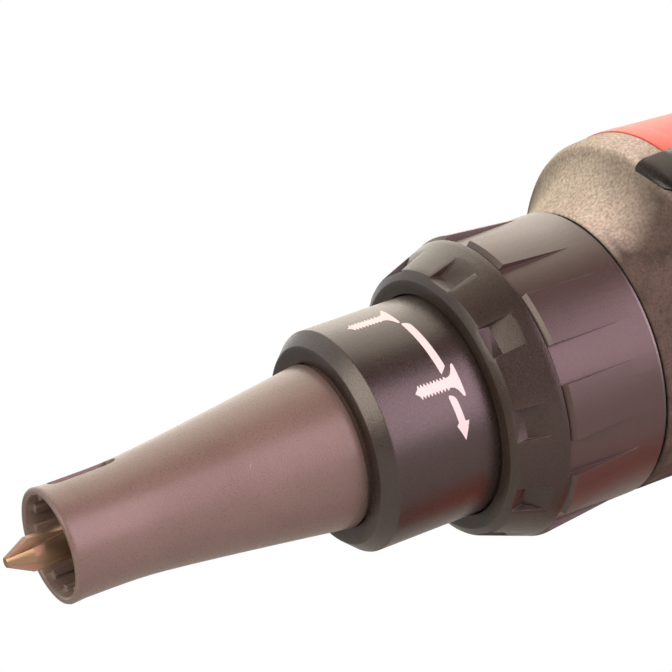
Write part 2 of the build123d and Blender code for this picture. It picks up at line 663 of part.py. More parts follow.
def grip_collar():
    clip_bore = CLIP_R + FREE
    bore = JOURNAL_R + RUN
    sleeve = turned([(COLLAR_S, clip_bore), (COLLAR_S, COLLAR_R), (COLLAR_END, COLLAR_R),
                     (COLLAR_END, bore), (CLIP_SHOULDER, bore), (CLIP_SHOULDER, clip_bore)])
    top = COLLAR_R + LAND_HEIGHT
    land_end = COLLAR_S + LAND_LENGTH
    land = turned([(COLLAR_S, COLLAR_R - ROOT), (COLLAR_S, RING_BACK_R), (COLLAR_S + LAND_CHAMFER, top),
                   (land_end, COLLAR_R), (land_end, COLLAR_R - ROOT)], LAND_WIDTH)
    # The sweep starts in the XY plane, a quarter turn from the top
    centred = Rot(90 - LAND_WIDTH / 2, 0, 0) * land
    for piece in spread(centred, NOTCH_COUNT, NOTCH_PHASE):
        sleeve += piece
    return on_axis(sleeve)


def collar_circlip():
    hoop = ring(CLIP_S, CLIP_S + CLIP_WIDTH, JOURNAL_R - CLIP_DEPTH + RUN, CLIP_R)
    hoop -= span(CLIP_S - OVERCUT, CLIP_S + CLIP_WIDTH + OVERCUT, CLIP_GAP / 2, -CLIP_R - OVERCUT, 0)
    return on_axis(hoop)


def collar_washer():
    return on_axis(ring(WASHER_S, WASHER_S + WASHER_THICKNESS, JOURNAL_R + RUN, WASHER_R))


# Spindle, clutch and gears


def dogs(start, end, outer, phase):
    """Clutch dogs on an end face, between two places along the spindle."""
    tooth = turned([(start, DOG_INNER_R), (start, outer), (end, outer), (end, DOG_INNER_R)], DOG_ANGLE)
    return spread(Rot(90 - DOG_ANGLE / 2, 0, 0) * tooth, DOG_COUNT, phase)


def spindle():
    flange_s = SPINDLE_FLANGE_END - SPINDLE_FLANGE
    shaft = turned([(SPINDLE_S, 0), (SPINDLE_S, SPINDLE_R - SPINDLE_CHAMFER),
                    (SPINDLE_S + SPINDLE_CHAMFER, SPINDLE_R),
                    (flange_s, SPINDLE_R), (flange_s, SPINDLE_FLANGE_R),
                    (SPINDLE_FLANGE_END, SPINDLE_FLANGE_R), (SPINDLE_FLANGE_END, SPINDLE_JOURNAL_R),
                    (GEAR_END - PUSH_TRAVEL, SPINDLE_JOURNAL_R), (GEAR_END - PUSH_TRAVEL, 0)])
    for tooth in dogs(SPINDLE_FLANGE_END, SPINDLE_FLANGE_END + DOG_HEIGHT, SPINDLE_FLANGE_R, 0):
        shaft += tooth
    socket_end = SPINDLE_S + SOCKET_DEPTH
    socket = Plane.YZ * RegularPolygon(BIT_FLATS / 2 + SOCKET_PLAY, 6, major_radius=False)
    shaft -= Pos(along(socket_end), 0, 0) * extrude(socket, SOCKET_DEPTH)
    shaft -= rod(socket_end - OVERCUT, socket_end + MAGNET_LENGTH, MAGNET_R)
    return on_axis(shaft)


def bit_magnet():
    start = SPINDLE_S + SOCKET_DEPTH
    return on_axis(rod(start, start + MAGNET_LENGTH, MAGNET_R))


def spindle_bush():
    return on_axis(ring(BUSH_S, BUSH_END, SPINDLE_R + RUN, BUSH_R))


def spindle_seal():
    end = SEAL_S + SEAL_LENGTH
    lip = turned([(SEAL_S, SPINDLE_R + RUN), (SEAL_S, BUSH_R), (end, BUSH_R), (end, SPINDLE_R + SEAL_LIP),
                  (SEAL_S + SEAL_LIP, SPINDLE_R + SEAL_LIP)])
    return on_axis(lip)


def clutch_spring():
    length = GEAR_FLANGE_S - SPINDLE_FLANGE_END - 2 * SEAT
    radius = (SPINDLE_JOURNAL_R + DOG_INNER_R) / 2
    spring = Rot(0, 90, 0) * coil(radius, SPRING_WIRE_R, SPRING_TURNS, length)
    return on_axis(Pos(along(GEAR_FLANGE_S - SEAT), 0, 0) * spring)


def tooth_flank(pitch_r, root, tip):
    """Half tooth as (radius, half angle) points from the root out to the tip."""
    base = pitch_r * math.cos(math.radians(PRESSURE_ANGLE))
    thickness = math.pi * GEAR_MODULE / 2 - BACKLASH / 2
    at_pitch = thickness / (2 * pitch_r) + involute(base, pitch_r)
    start = max(base, root)
    points = []
    if root < base:
        points.append((root, at_pitch))
    for k in range(FLANK_STEPS + 1):
        radius = start + (tip - start) * k / FLANK_STEPS
        points.append((radius, at_pitch - involute(base, radius)))
    return points


def involute(base, radius):
    """Involute angle, in radians, at a radius."""
    angle = math.acos(min(1.0, base / radius))
    return math.tan(angle) - angle


def toothed(pitch_r, teeth, root, tip, phase):
    """Outline of a spur gear with a tooth centred phase degrees from +Y towards +Z."""
    flank = tooth_flank(pitch_r, root, tip)
    corners = []
    for k in range(teeth):
        centre = math.radians(phase) + 2 * math.pi * k / teeth
        rising = [(r, centre - a) for r, a in flank]
        falling = [(r, centre + a) for r, a in reversed(flank)]
        corners += [(r * math.cos(a), r * math.sin(a)) for r, a in rising + falling]
    return Plane.YZ * make_face(Polyline(*corners, close=True))


def drive_gear():
    teeth = toothed(GEAR_PITCH_R, GEAR_TEETH, GEAR_ROOT_R, GEAR_TIP_R, 90)
    wheel = Pos(along(GEAR_END), 0, 0) * extrude(teeth, GEAR_WIDTH)
    hub_end = GEAR_BEARING_S - AXIAL_PLAY
    wheel += turned([(GEAR_FLANGE_S, 0), (GEAR_FLANGE_S, SPINDLE_FLANGE_R), (hub_end, SPINDLE_FLANGE_R),
                     (hub_end, GEAR_HUB_R), (GEAR_S, GEAR_HUB_R), (GEAR_S, 0)])
    for tooth in dogs(GEAR_FLANGE_S - DOG_HEIGHT, GEAR_FLANGE_S, SPINDLE_FLANGE_R, 180.0 / DOG_COUNT):
        wheel += tooth
    wheel -= rod(GEAR_FLANGE_S - OVERCUT, GEAR_END + OVERCUT, SPINDLE_JOURNAL_R + RUN)
    return on_axis(wheel)


def gear_bearing():
    return on_axis(ring(GEAR_BEARING_S, GEAR_BEARING_END, GEAR_HUB_R + RUN, GEAR_BEARING_R))


def gear_washer():
    start = GEAR_END + AXIAL_PLAY
    outer = GEAR_ROOT_R - GEAR_WASHER_MARGIN
    return on_axis(ring(start, start + GEAR_WASHER, SPINDLE_JOURNAL_R + FREE, outer))


def gear_case():
    web_s = GEAR_BEARING_END - CASE_WEB
    case = turned([(TUBE_S, BUSH_R), (TUBE_S, TUBE_R), (HUB_S, TUBE_R), (HUB_S, HUB_R), (web_s, HUB_R),
                   (web_s, JOURNAL_BORE_R), (JOURNAL_S, JOURNAL_BORE_R), (JOURNAL_S, JOURNAL_R),
                   (PLATE_S, JOURNAL_R), (PLATE_S, JOURNAL_BORE_R), (GEAR_BEARING_END, JOURNAL_BORE_R),
                   (GEAR_BEARING_END, GEAR_BEARING_R), (GEAR_BEARING_S, GEAR_BEARING_R),
                   (GEAR_BEARING_S, CHAMBER_R), (CHAMBER_S, CHAMBER_R),
                   (CHAMBER_S, SPINDLE_R + FREE), (BUSH_END, SPINDLE_R + FREE), (BUSH_END, BUSH_R)])
    case -= ring(CLIP_S - RUN, CLIP_S + CLIP_WIDTH + RUN, JOURNAL_R - CLIP_DEPTH, JOURNAL_R + OVERCUT)
    key = span(HUB_S - KEY_LENGTH, HUB_S, KEY_WIDTH / 2, TUBE_R - ROOT, TUBE_R + KEY_HEIGHT)
    for piece in spread(key, 2):
        case += piece
    boss = Pos(0, 0, CASE_BOSS_PLACE_R) * rod(GEAR_BEARING_END - ROOT, PLATE_S, CASE_BOSS_R)
    hole = Pos(0, 0, CASE_BOSS_PLACE_R) * rod(PLATE_END - CASE_SCREW_LENGTH, PLATE_S + OVERCUT, CASE_SCREW_R)
    for piece in spread(boss, CASE_SCREW_COUNT, CASE_SCREW_PHASE):
        case += piece
    for cut in spread(hole, CASE_SCREW_COUNT, CASE_SCREW_PHASE):
        case -= cut
    return on_axis(case)


def gear_case_plate():
    plate = rod(PLATE_S, PLATE_END, JOURNAL_R)
    boss_r = MOTOR_BEARING_R + BEARING_BOSS_WALL
    plate += Pos(0, 0, MOTOR_LIFT) * rod(PLATE_S, MOTOR_BEARING_END, boss_r)
    plate -= Pos(0, 0, MOTOR_LIFT) * rod(MOTOR_BEARING_S, MOTOR_BEARING_END + OVERCUT, MOTOR_BEARING_R)
    plate -= Pos(0, 0, MOTOR_LIFT) * rod(PLATE_S - OVERCUT, MOTOR_BEARING_END, PINION_TIP_R + FREE)
    hole = Pos(0, 0, CASE_BOSS_PLACE_R) * rod(PLATE_S - OVERCUT, PLATE_END + OVERCUT, CASE_SCREW_R)
    for cut in spread(hole, CASE_SCREW_COUNT, CASE_SCREW_PHASE):
        plate -= cut
    return on_axis(plate)


def gear_case_screws():
    screw = rod(PLATE_END - CASE_SCREW_LENGTH, PLATE_END, CASE_SCREW_R)
    screw += rod(PLATE_END, PLATE_END + CASE_SCREW_HEAD, CASE_SCREW_HEAD_R)
    placed = spread(Pos(0, 0, CASE_BOSS_PLACE_R) * screw, CASE_SCREW_COUNT, CASE_SCREW_PHASE)
    return [on_axis(piece) for piece in placed]


# Motor


def motor_pinion():
    half_pitch = 180.0 / PINION_TEETH
    teeth = toothed(PINION_PITCH_R, PINION_TEETH, PINION_ROOT_R, PINION_TIP_R, 270 + half_pitch)
    wheel = Pos(along(PLATE_S), 0, 0) * extrude(teeth, PLATE_S - GEAR_S + PINION_OVERHANG)
    wheel -= rod(GEAR_S - PINION_OVERHANG - OVERCUT, PLATE_S + OVERCUT, PINION_SHAFT_R)
    return on_axis(wheel, MOTOR_LIFT)


def rotor_shaft():
    tip = GEAR_S - SHAFT_LEAD
    end = REAR_BEARING_END + SHAFT_END
    shaft = turned([(tip, 0), (tip, PINION_SHAFT_R), (PLATE_S, PINION_SHAFT_R), (PLATE_S, SHAFT_R),
                    (end, SHAFT_R), (end, 0)])
    return on_axis(shaft, MOTOR_LIFT)


def bearing(start):
    return on_axis(ring(start, start + MOTOR_BEARING_WIDTH, SHAFT_R + RUN, MOTOR_BEARING_R), MOTOR_LIFT)


def cooling_fan():
    wheel = ring(FAN_S, FAN_END, SHAFT_R, FAN_HUB_R)
    wheel += ring(FAN_END - FAN_DISC, FAN_END, SHAFT_R, FAN_R)
    blade = span(FAN_S + FAN_BLADE, FAN_END - FAN_DISC, FAN_BLADE / 2, 0, FAN_R - FAN_HUB_R)
    blade = Pos(0, 0, FAN_HUB_R - ROOT) * Rot(-FAN_BLADE_SWEEP, 0, 0) * blade
    for piece in spread(blade, FAN_BLADES):
        wheel += piece
    return on_axis(wheel, MOTOR_LIFT)


def rotor_core():
    return on_axis(ring(STATOR_S - ROTOR_OVERHANG, STATOR_END + ROTOR_OVERHANG, SHAFT_R, ROTOR_R), MOTOR_LIFT)


def stator_core():
    yoke = Circle(STATOR_R) - Circle(STATOR_R - STATOR_YOKE)
    shoes = Circle(STATOR_BORE_R + SHOE_THICKNESS) - Circle(STATOR_BORE_R)
    arm_r = (STATOR_BORE_R + STATOR_R) / 2
    arm_length = STATOR_R - STATOR_BORE_R - 2 * ROOT
    for k in range(STATOR_TEETH):
        turn = 360.0 * k / STATOR_TEETH
        opening = Pos(STATOR_BORE_R, 0) * Rectangle(4 * SHOE_THICKNESS, SHOE_GAP)
        shoes -= Rot(0, 0, turn + 180.0 / STATOR_TEETH) * opening
        yoke += Rot(0, 0, turn) * Pos(arm_r, 0) * Rectangle(arm_length, TOOTH_WIDTH)
    stack = extrude(Plane.YZ * (yoke + shoes), STATOR_LENGTH)
    return on_axis(Pos(along(STATOR_END), 0, 0) * stack, MOTOR_LIFT)


def stator_windings():
    low = STATOR_BORE_R + SHOE_THICKNESS + SEAT
    inner = TOOTH_WIDTH / 2 + SEAT
    high = math.sqrt((STATOR_R - STATOR_YOKE) ** 2 - (inner + COIL_THICKNESS) ** 2) - SEAT
    wound = span(STATOR_S - COIL_OVERHANG, STATOR_END + COIL_OVERHANG, inner + COIL_THICKNESS, low, high)
    wound -= span(STATOR_S - SEAT, STATOR_END + SEAT, inner, low - OVERCUT, high + OVERCUT)
    first = Rot(-90, 0, 0) * wound
    return [on_axis(piece, MOTOR_LIFT) for piece in spread(first, STATOR_TEETH)]


def sensor_board():
    return on_axis(ring(SENSOR_S, SENSOR_S + SENSOR_BOARD, SENSOR_BOARD_BORE, STATOR_R), MOTOR_LIFT)


# Housing


def saddle_section(s, inset):
    """Round section of the barrel's front, which rises to the ridge and stays level below."""
    share = (s - MOUTH_S) / SADDLE_LENGTH
    smooth = share * share * (3 - 2 * share)
    top = MOUTH_R + (RIDGE_R + BARREL_LIFT - MOUTH_R) * smooth
    bottom = MOUTH_R + (RIDGE_R - BARREL_LIFT - MOUTH_R) * smooth
    plane = Plane(origin=(along(s), 0, (top - bottom) / 2), z_dir=(-1, 0, 0))
    return plane * Circle((top + bottom) / 2 - inset)


def barrel(inset=0.0, front=MOUTH_S):
    """Motor and gear housing, smaller all round by inset, from a given front."""
    ridge = (along(RIDGE_S), RIDGE_R - inset)
    tail_round = (along(TAIL_ROUND_S), TAIL_R - inset)
    tail = (along(TAIL_S - inset), TAIL_END_R)
    back, drop = TAIL_ARC
    slant = inset * math.cos(math.radians(45))
    bulge = (along(TAIL_S - back * TAIL_ROUND - slant), TAIL_R - drop * (TAIL_R - TAIL_END_R) - slant)
    outline = [Line(ridge, tail_round), ThreePointArc(tail_round, bulge, tail),
               Polyline(tail, (tail[0], 0), (ridge[0], 0), ridge)]
    edges = [edge for piece in outline for edge in piece.edges()]
    drum = Pos(0, 0, BARREL_LIFT) * revolve(make_face(edges), Axis.X)
    step = (RIDGE_S - front) / SADDLE_STEPS
    saddle = loft([saddle_section(front + step * k, inset) for k in range(SADDLE_STEPS + 1)])
    return on_axis(drum + saddle)


def grip(inset=0.0):
    heights = [GRIP_BOTTOM_Z + GRIP_LENGTH * place[0] for place in GRIP_SECTIONS]
    return loft([section(z, inset) for z in heights])


def foot(inset=0.0, floor=FOOT_Z):
    """Battery foot and the neck that joins it to the grip."""
    def rounded(length, width, corner, middle, height):
        plan = RectangleRounded(length - 2 * inset, width - 2 * inset, corner - inset)
        return Pos(middle, 0, height) * plan

    length, breadth = BATTERY_LENGTH, BATTERY_WIDTH
    base = rounded(length, breadth, FOOT_CORNER, 0, FOOT_SHOULDER_Z)
    top = rounded(length - FOOT_TOP_INSET, breadth - FOOT_TOP_INSET, FOOT_CORNER, 0, FOOT_TOP_Z)
    middle, depth, width = grip_size(GRIP_BOTTOM_Z)
    neck = rounded(depth + NECK_LONGER, width + NECK_WIDER, FOOT_CORNER, middle + NECK_FORWARD, FOOT_NECK_Z)
    slab = extrude(base, floor - FOOT_SHOULDER_Z)
    slopes = loft([base, top, neck, section(GRIP_BOTTOM_Z, inset)], ruled=True)
    return slab + slopes


def body_form(inset=0.0, front=MOUTH_S, floor=FOOT_Z):
    return barrel(inset, front) + grip(inset) + foot(inset, floor)


def screw_places():
    """X, Z and reach from the middle plane of each screw that draws the halves together."""
    top_s = PLATE_END + SCREW_BOSS_R + FREE
    low_s = top_s + CASE_SCREW_HEAD
    axis_z = AXIS_HEIGHT + BARREL_LIFT
    places = [barrel_screw(top_s, axis_z + BARREL_SCREW_RISE * RIDGE_R, RIDGE_R),
              barrel_screw(low_s, axis_z - BARREL_SCREW_DROP * RIDGE_R, RIDGE_R),
              barrel_screw(TAIL_ROUND_S - TAIL_SCREW_LEAD, axis_z - TAIL_SCREW_DROP * TAIL_R, TAIL_R)]
    for z, forward in ((GRIP_TOP_Z - GRIP_TOP_SCREW[0], GRIP_TOP_SCREW[1]),
                       (TRIGGER_BOTTOM - TRIGGER_SCREW[0], TRIGGER_SCREW[1]),
                       (GRIP_BOTTOM_Z + GRIP_LOW_SCREW[0], GRIP_LOW_SCREW[1])):
        middle, depth, width = grip_size(z)
        places.append((middle + forward, z, width / 2 - SCREW_SUNK))
    for end in (-1, 1):
        x = end * (BATTERY_LENGTH / 2 - FOOT_SCREW_INSET)
        places.append((x, FOOT_SHOULDER_Z - FOOT_SCREW_DROP, BATTERY_WIDTH / 2 - SCREW_SUNK))
    return places


def barrel_screw(s, z, radius):
    """Place of a housing screw in the barrel, sunk under its round side."""
    rise = z - AXIS_HEIGHT - BARREL_LIFT
    return along(s), z, math.sqrt(radius ** 2 - rise ** 2) - SCREW_SUNK


def housing_ribs():
    """Ribs, shelves and screw bosses inside the housing."""
    low = -RIDGE_R
    high = RIDGE_R + BARREL_LIFT
    width = RIDGE_R
    # Cross ribs carry the gear case, the stator and the rear bearing
    bell_s = PLATE_S - 2 * RIB
    bell_rib = span(bell_s, bell_s + RIB, width, low, high) - rod(bell_s - OVERCUT, PLATE_S, JOURNAL_R + SEAT)
    seat = Pos(0, 0, MOTOR_LIFT) * rod(STATOR_S - OVERCUT, STATOR_END + OVERCUT, STATOR_R + SEAT)
    stator_ribs = [span(s, s + RIB, width, -STATOR_R, high) - seat
                   for s in (STATOR_S + RIB_INSET, STATOR_END - RIB_INSET - RIB)]
    bearing_seat = Pos(0, 0, MOTOR_LIFT) * rod(REAR_BEARING_S, REAR_BEARING_END, MOTOR_BEARING_R + SEAT)
    shaft_hole = Pos(0, 0, MOTOR_LIFT) * rod(REAR_BEARING_S - RIB, REAR_BEARING_END + RIB, SHAFT_R + FREE)
    bearing_rib = span(REAR_BEARING_S - BEARING_LIP, REAR_BEARING_END + BEARING_LIP, width, low, high)
    bearing_rib -= bearing_seat + shaft_hole
    ribs = [on_axis(rib) for rib in [bell_rib, *stator_ribs, bearing_rib]]
    ribs += [cross_rod(x, z, -FAR, FAR, SCREW_BOSS_R) for x, z, reach in screw_places()]
    # Shelves in the grip hold the switch and the control board
    shelf_front = switch_front() - SHELF_SETBACK
    for rise in SWITCH_SHELVES:
        z = TRIGGER_BOTTOM + rise
        ribs.append(block(-FAR, shelf_front, -FAR, FAR, z, z + SHELF) - switch_box(SEAT))
    board = control_board_box(SEAT)
    for z in (GRIP_BOTTOM_Z + BOARD_SHELF_RISE, TRIGGER_BOTTOM - BOARD_SHELF_RISE):
        ribs.append(block(-FAR, FAR, -FAR, FAR, z, z + SHELF) - board - wire_path())
    return ribs


def housing_cavity():
    hollow = body_form(WALL, MOUTH_S + WALL, TOWER_TOP_Z + BATTERY_GAP + WALL)
    return hollow - housing_ribs()


def wire_path():
    """Open way down the front of the grip for the leads."""
    back = grip_size(GRIP_BOTTOM_Z)[0] + LEAD_WAY_FORWARD
    return block(back, FAR, -LEAD_WAY / 2, LEAD_WAY / 2, FOOT_TOP_Z, TRIGGER_BOTTOM)


def grip_front(z):
    """Front of the grip at a height."""
    middle, depth, width = grip_size(z)
    return middle + depth / 2


def trigger_back():
    return grip_front(TRIGGER_BOTTOM + TRIGGER_HEIGHT / 2) + TRIGGER_REACH - TRIGGER_BODY


def switch_front():
    return trigger_back() - SWITCH_GAP


def switch_box(room=0.0):
    front = switch_front()
    half = SWITCH_WIDTH / 2 + room
    return block(front - SWITCH_LENGTH - room, front + room, -half, half,
                 TRIGGER_BOTTOM - room, TRIGGER_TOP - SWITCH_TOP_DROP + room)


def control_board_box(room=0.0):
    low = GRIP_BOTTOM_Z + CONTROL_BOARD_RISE
    high = TRIGGER_BOTTOM - CONTROL_BOARD_DROP
    middle = grip_size((low + high) / 2)[0] - CONTROL_BOARD_BACK
    half = CONTROL_BOARD_DEPTH / 2 + room
    return block(middle - half, middle + half, CONTROL_BOARD_SIDE - room, CONTROL_BOARD_SIDE + BOARD + room,
                 low - room, high + room)


def tower(room=0.0):
    """Tee-shaped rail block of the battery, larger all round by room."""
    neck = block(TOWER_BACK - room, TOWER_FRONT, -TOWER_NECK / 2 - room, TOWER_NECK / 2 + room,
                 BATTERY_HEIGHT - ROOT, TOWER_TOP_Z + room)
    lip = block(TOWER_BACK - room, TOWER_FRONT, -TOWER_WIDTH / 2 - room, TOWER_WIDTH / 2 + room,
                TOWER_LIP_Z - room, TOWER_TOP_Z + room)
    return neck + lip


def terminal_pocket(room=0.0):
    back = TOWER_BACK - BATTERY_GAP - TERMINAL_DEPTH
    half = BLADE_PITCH * BLADE_COUNT / 2 + TERMINAL_MARGIN
    return block(back - room, TOWER_BACK - BATTERY_GAP, -half - room, half + room,
                 FOOT_Z + TERMINAL_RISE, TOWER_TOP_Z + BATTERY_GAP)


def lens_box(room=0.0):
    front = BATTERY_LENGTH / 2
    low = TOWER_TOP_Z + BATTERY_GAP + LENS_RISE
    return block(front - LENS_DEPTH - room, front + LENS_PROUD, -LENS_WIDTH / 2 - room, LENS_WIDTH / 2 + room,
                 low - room, low + LENS_HEIGHT + room)


def lock_hole(radius, start, end):
    x = grip_size(LOCK_Z)[0] - LOCK_SETBACK
    return cross_rod(x, LOCK_Z, start, end, radius)


def housing_cuts():
    """Openings in the housing: mouth, battery way, controls, vents and screws."""
    half = TRIGGER_WIDTH / 2 + FREE
    back = trigger_back() - SWITCH_GAP
    cuts = [on_axis(rod(MOUTH_S - OVERCUT, MOUTH_S + WALL + OVERCUT, JOURNAL_R + FREE)),
            tower(BATTERY_GAP), Pos(BATTERY_LENGTH / 2, 0, 0) * tower(BATTERY_GAP),
            terminal_pocket(SEAT), lens_box(SEAT), shuttle_bar(FREE, FAR), lock_hole(LOCK_R + RUN, 0, FAR),
            block(back, FAR, -half, half, TRIGGER_BOTTOM - FREE, TRIGGER_TOP + FREE)]
    for side in (-1, 1):
        cuts.append(insert_rod(side, INSERT_R))
        for k in range(VENT_COUNT):
            for first, drop in ((FAN_S + FAN_VENT_LEAD, FAN_VENT_DROP),
                                (REAR_BEARING_END + TAIL_VENT_LEAD, TAIL_VENT_DROP)):
                s = first + k * VENT_PITCH
                vent = span(s, s + VENT_WIDTH, VENT_DEPTH / 2, -drop, VENT_HEIGHT - drop)
                cuts.append(on_axis(Pos(0, side * (RIDGE_R - VENT_SINK), 0) * vent))
    for x, z, reach in screw_places():
        cuts.append(cross_rod(x, z, -FAR, -reach, SCREW_HEAD_R + SEAT))
        cuts.append(cross_rod(x, z, -reach - OVERCUT, reach - SCREW_SHORT, SCREW_R))
    return cuts


def housing(boot, pads):
    """Whole red housing, less its rubber skins, before it is cut into two halves."""
    return body_form() - [housing_cavity(), boot, pads, *housing_cuts()]


def insert_rod(side, radius):
    """Cylinder of a threaded insert in the side of the foot."""
    outer = side * BATTERY_WIDTH / 2
    inner = outer - side * INSERT_LENGTH
    return cross_rod(INSERT_FORWARD, FOOT_Z + INSERT_RISE, min(outer, inner), max(outer, inner), radius)


def front_boot():
    """Rubber skin over the front of the barrel."""
    front = block(along(BOOT_END), FAR, -FAR, FAR, -FAR, FAR)
    return (barrel() - barrel(SKIN)) & front


def grip_pads():
    """Rubber skin over the grip, all round below the trigger and on the back above it."""
    top = TRIGGER_BOTTOM - PAD_BELOW_TRIGGER
    around = block(-FAR, FAR, -FAR, FAR, GRIP_BOTTOM_Z + PAD_ABOVE_FOOT, top)
    edge = grip_size(top)[0] - PAD_BACK_LEAD
    back = block(-FAR, edge, -FAR, FAR, top - OVERCUT, GRIP_TOP_Z - PAD_BACK_DROP)
    skin = (grip() - grip(SKIN)) & (around + back)
    cuts = [lock_hole(LOCK_R + RUN, 0, FAR)]
    for x, z, reach in screw_places():
        cuts.append(cross_rod(x, z, -FAR, -reach + SCREW_SHORT, SCREW_HEAD_R + OVERCUT))
    return skin - cuts


def half_of(shape, side):
    """The part of a shape on one side of the middle plane, +1 for the left."""
    keep = block(-FAR, FAR, min(0, side * FAR), max(0, side * FAR), -FAR, FAR)
    return shape & keep


def housing_screws():
    screws = []
    for x, z, reach in screw_places():
        screw = cross_rod(x, z, -reach, reach - SCREW_SHORT, SCREW_R)
        screw += cross_rod(x, z, -reach - SCREW_HEAD, -reach, SCREW_HEAD_R)
        screws.append(screw)
    return screws


def clip_inserts():
    return [insert_rod(side, INSERT_R) - insert_rod(side, INSERT_BORE_R) for side in (-1, 1)]


# Controls in the grip


def trigger():
    back = trigger_back()
    front = back + TRIGGER_BODY
    half = TRIGGER_WIDTH / 2
    low, high = TRIGGER_BOTTOM, TRIGGER_TOP
    middle = (low + high) / 2
    toe = (front + TRIGGER_HOOK, low + TRIGGER_TOE)
    brow = (front + TRIGGER_HOOK, high - TRIGGER_BROW)
    finger = ThreePointArc(toe, (front - TRIGGER_HOLLOW, middle), brow)
    rest = Polyline(brow, (front - 2 * TRIGGER_HOOK, high), (back, high), (back, low),
                    (front - TRIGGER_HOOK, low), toe)
    face = Plane.XZ * make_face(finger.edges() + rest.edges())
    paddle = extrude(face, half, both=True)
    rim = paddle.edges().filter_by(GeomType.CIRCLE)
    return fillet(rim, TRIGGER_EDGE)


def trigger_spring():
    length = SWITCH_GAP - 2 * SEAT
    middle = TRIGGER_BOTTOM + TRIGGER_HEIGHT / 2
    spring = Rot(0, 90, 0) * coil(TRIGGER_SPRING_R, SPRING_WIRE_R, TRIGGER_SPRING_TURNS, length)
    return Pos(switch_front() + SEAT, 0, middle) * spring


def shuttle_reach():
    return grip_size(SHUTTLE_Z)[2] / 2 + SHUTTLE_TRAVEL + SHUTTLE_SHOWN


def shuttle_bar(room, reach):
    half = SHUTTLE_DEPTH / 2 + room
    middle = grip_front(SHUTTLE_Z) - SHUTTLE_SETBACK - SHUTTLE_DEPTH / 2
    return block(middle - half, middle + half, -reach, reach,
                 SHUTTLE_Z - SHUTTLE_HEIGHT / 2 - room, SHUTTLE_Z + SHUTTLE_HEIGHT / 2 + room)


def direction_shuttle():
    bar = shuttle_bar(0.0, shuttle_reach())
    ends = bar.faces().filter_by(Axis.Y).edges()
    return fillet(ends, SHUTTLE_EDGE)


def lock_on_button():
    outer = grip_size(LOCK_Z)[2] / 2 + LOCK_TRAVEL + LOCK_SHOWN
    pin = lock_hole(LOCK_R, SWITCH_WIDTH / 2 + LOCK_TRAVEL + FREE, outer)
    rim = pin.faces().sort_by(Axis.Y)[-1].edges()
    return fillet(rim, LOCK_EDGE)


def lamp_lens():
    lens = lens_box()
    return fillet(lens.edges().filter_by(Axis.X), LENS_CORNER)


def terminal_block():
    return terminal_pocket()


def blade_places():
    return [BLADE_PITCH * (k - (BLADE_COUNT - 1) / 2) for k in range(BLADE_COUNT)]


def blade_middle():
    return (FOOT_Z + TERMINAL_RISE + TOWER_TOP_Z + BATTERY_GAP) / 2


def terminal_blades():
    back = TOWER_BACK - BATTERY_GAP
    half = BLADE_THICKNESS / 2
    low = blade_middle() - BLADE_HEIGHT / 2
    return [block(back, back + BLADE_LENGTH, y - half, y + half, low, low + BLADE_HEIGHT)
            for y in blade_places()]


# Battery


def battery_case(inset=0.0):
    plan = RectangleRounded(BATTERY_LENGTH - 2 * inset, BATTERY_WIDTH - 2 * inset, BATTERY_CORNER - inset)
    case = Pos(0, 0, inset) * extrude(plan, BATTERY_HEIGHT - 2 * inset)
    if inset:
        return case
    return fillet(case.faces().sort_by(Axis.Z)[0].edges(), BATTERY_EDGE)


def battery_screw_places():
    inset = BATTERY_WALL + BATTERY_BOSS_R - BATTERY_BOSS_SINK
    x = BATTERY_LENGTH / 2 - inset
    y = BATTERY_WIDTH / 2 - inset
    return [(x * a, y * b) for a in (-1, 1) for b in (-1, 1)]


def latch_box(side, room=0.0):
    outer = BATTERY_WIDTH / 2 + LATCH_PROUD
    inner = outer - LATCH_DEPTH
    return block(LATCH_PLACE - LATCH_LENGTH - room, LATCH_PLACE + room,
                 min(side * outer, side * (inner - room)), max(side * outer, side * (inner - room)),
                 LATCH_Z - room, LATCH_Z + LATCH_HEIGHT + room)


def gauge_rod(start, end, radius):
    """Cylinder along X in the front of the battery."""
    z = (BATTERY_SPLIT + BATTERY_HEIGHT) / 2
    return Pos((start + end) / 2, 0, z) * Rot(0, 90, 0) * Cylinder(radius, end - start)


def battery_top():
    case = battery_case() - battery_case(BATTERY_WALL)
    case += tower()
    case &= block(-FAR, FAR, -FAR, FAR, BATTERY_SPLIT, FAR)
    back = TOWER_BACK
    for y in blade_places():
        half = BLADE_THICKNESS / 2 + FREE + CLIP_THICKNESS
        low = blade_middle() - BLADE_HEIGHT / 2 - FREE
        case -= block(back - OVERCUT, back + BLADE_LENGTH + TERMINAL_MARGIN, y - half, y + half,
                      low, low + BLADE_HEIGHT + 2 * FREE)
    outer = BATTERY_WIDTH / 2
    deep = LATCH_DEPTH - LATCH_PROUD + LATCH_TRAVEL + LATCH_SPARE
    for side in (-1, 1):
        inner = outer - deep
        wall = inner - LATCH_CUP
        cup = block(LATCH_PLACE - LATCH_LENGTH - LATCH_CUP - FREE, LATCH_PLACE + LATCH_CUP + FREE,
                    min(side * outer, side * wall), max(side * outer, side * wall),
                    LATCH_Z - LATCH_CUP, BATTERY_HEIGHT - ROOT)
        case += cup & battery_case()
        case -= block(LATCH_PLACE - LATCH_LENGTH - FREE, LATCH_PLACE + FREE, min(side * FAR, side * inner),
                      max(side * FAR, side * inner), LATCH_Z - FREE, LATCH_Z + LATCH_HEIGHT + FREE)
    front = BATTERY_LENGTH / 2
    case -= gauge_rod(front - BATTERY_WALL - OVERCUT, front + OVERCUT, GAUGE_BUTTON_R + RUN)
    for x, y in battery_screw_places():
        case += upright(x, y, BATTERY_SPLIT, BATTERY_HEIGHT - ROOT, BATTERY_BOSS_R) & battery_case()
        case -= upright(x, y, 0, BATTERY_SPLIT + BATTERY_SCREW_BITE, BATTERY_SCREW_R)
    return case


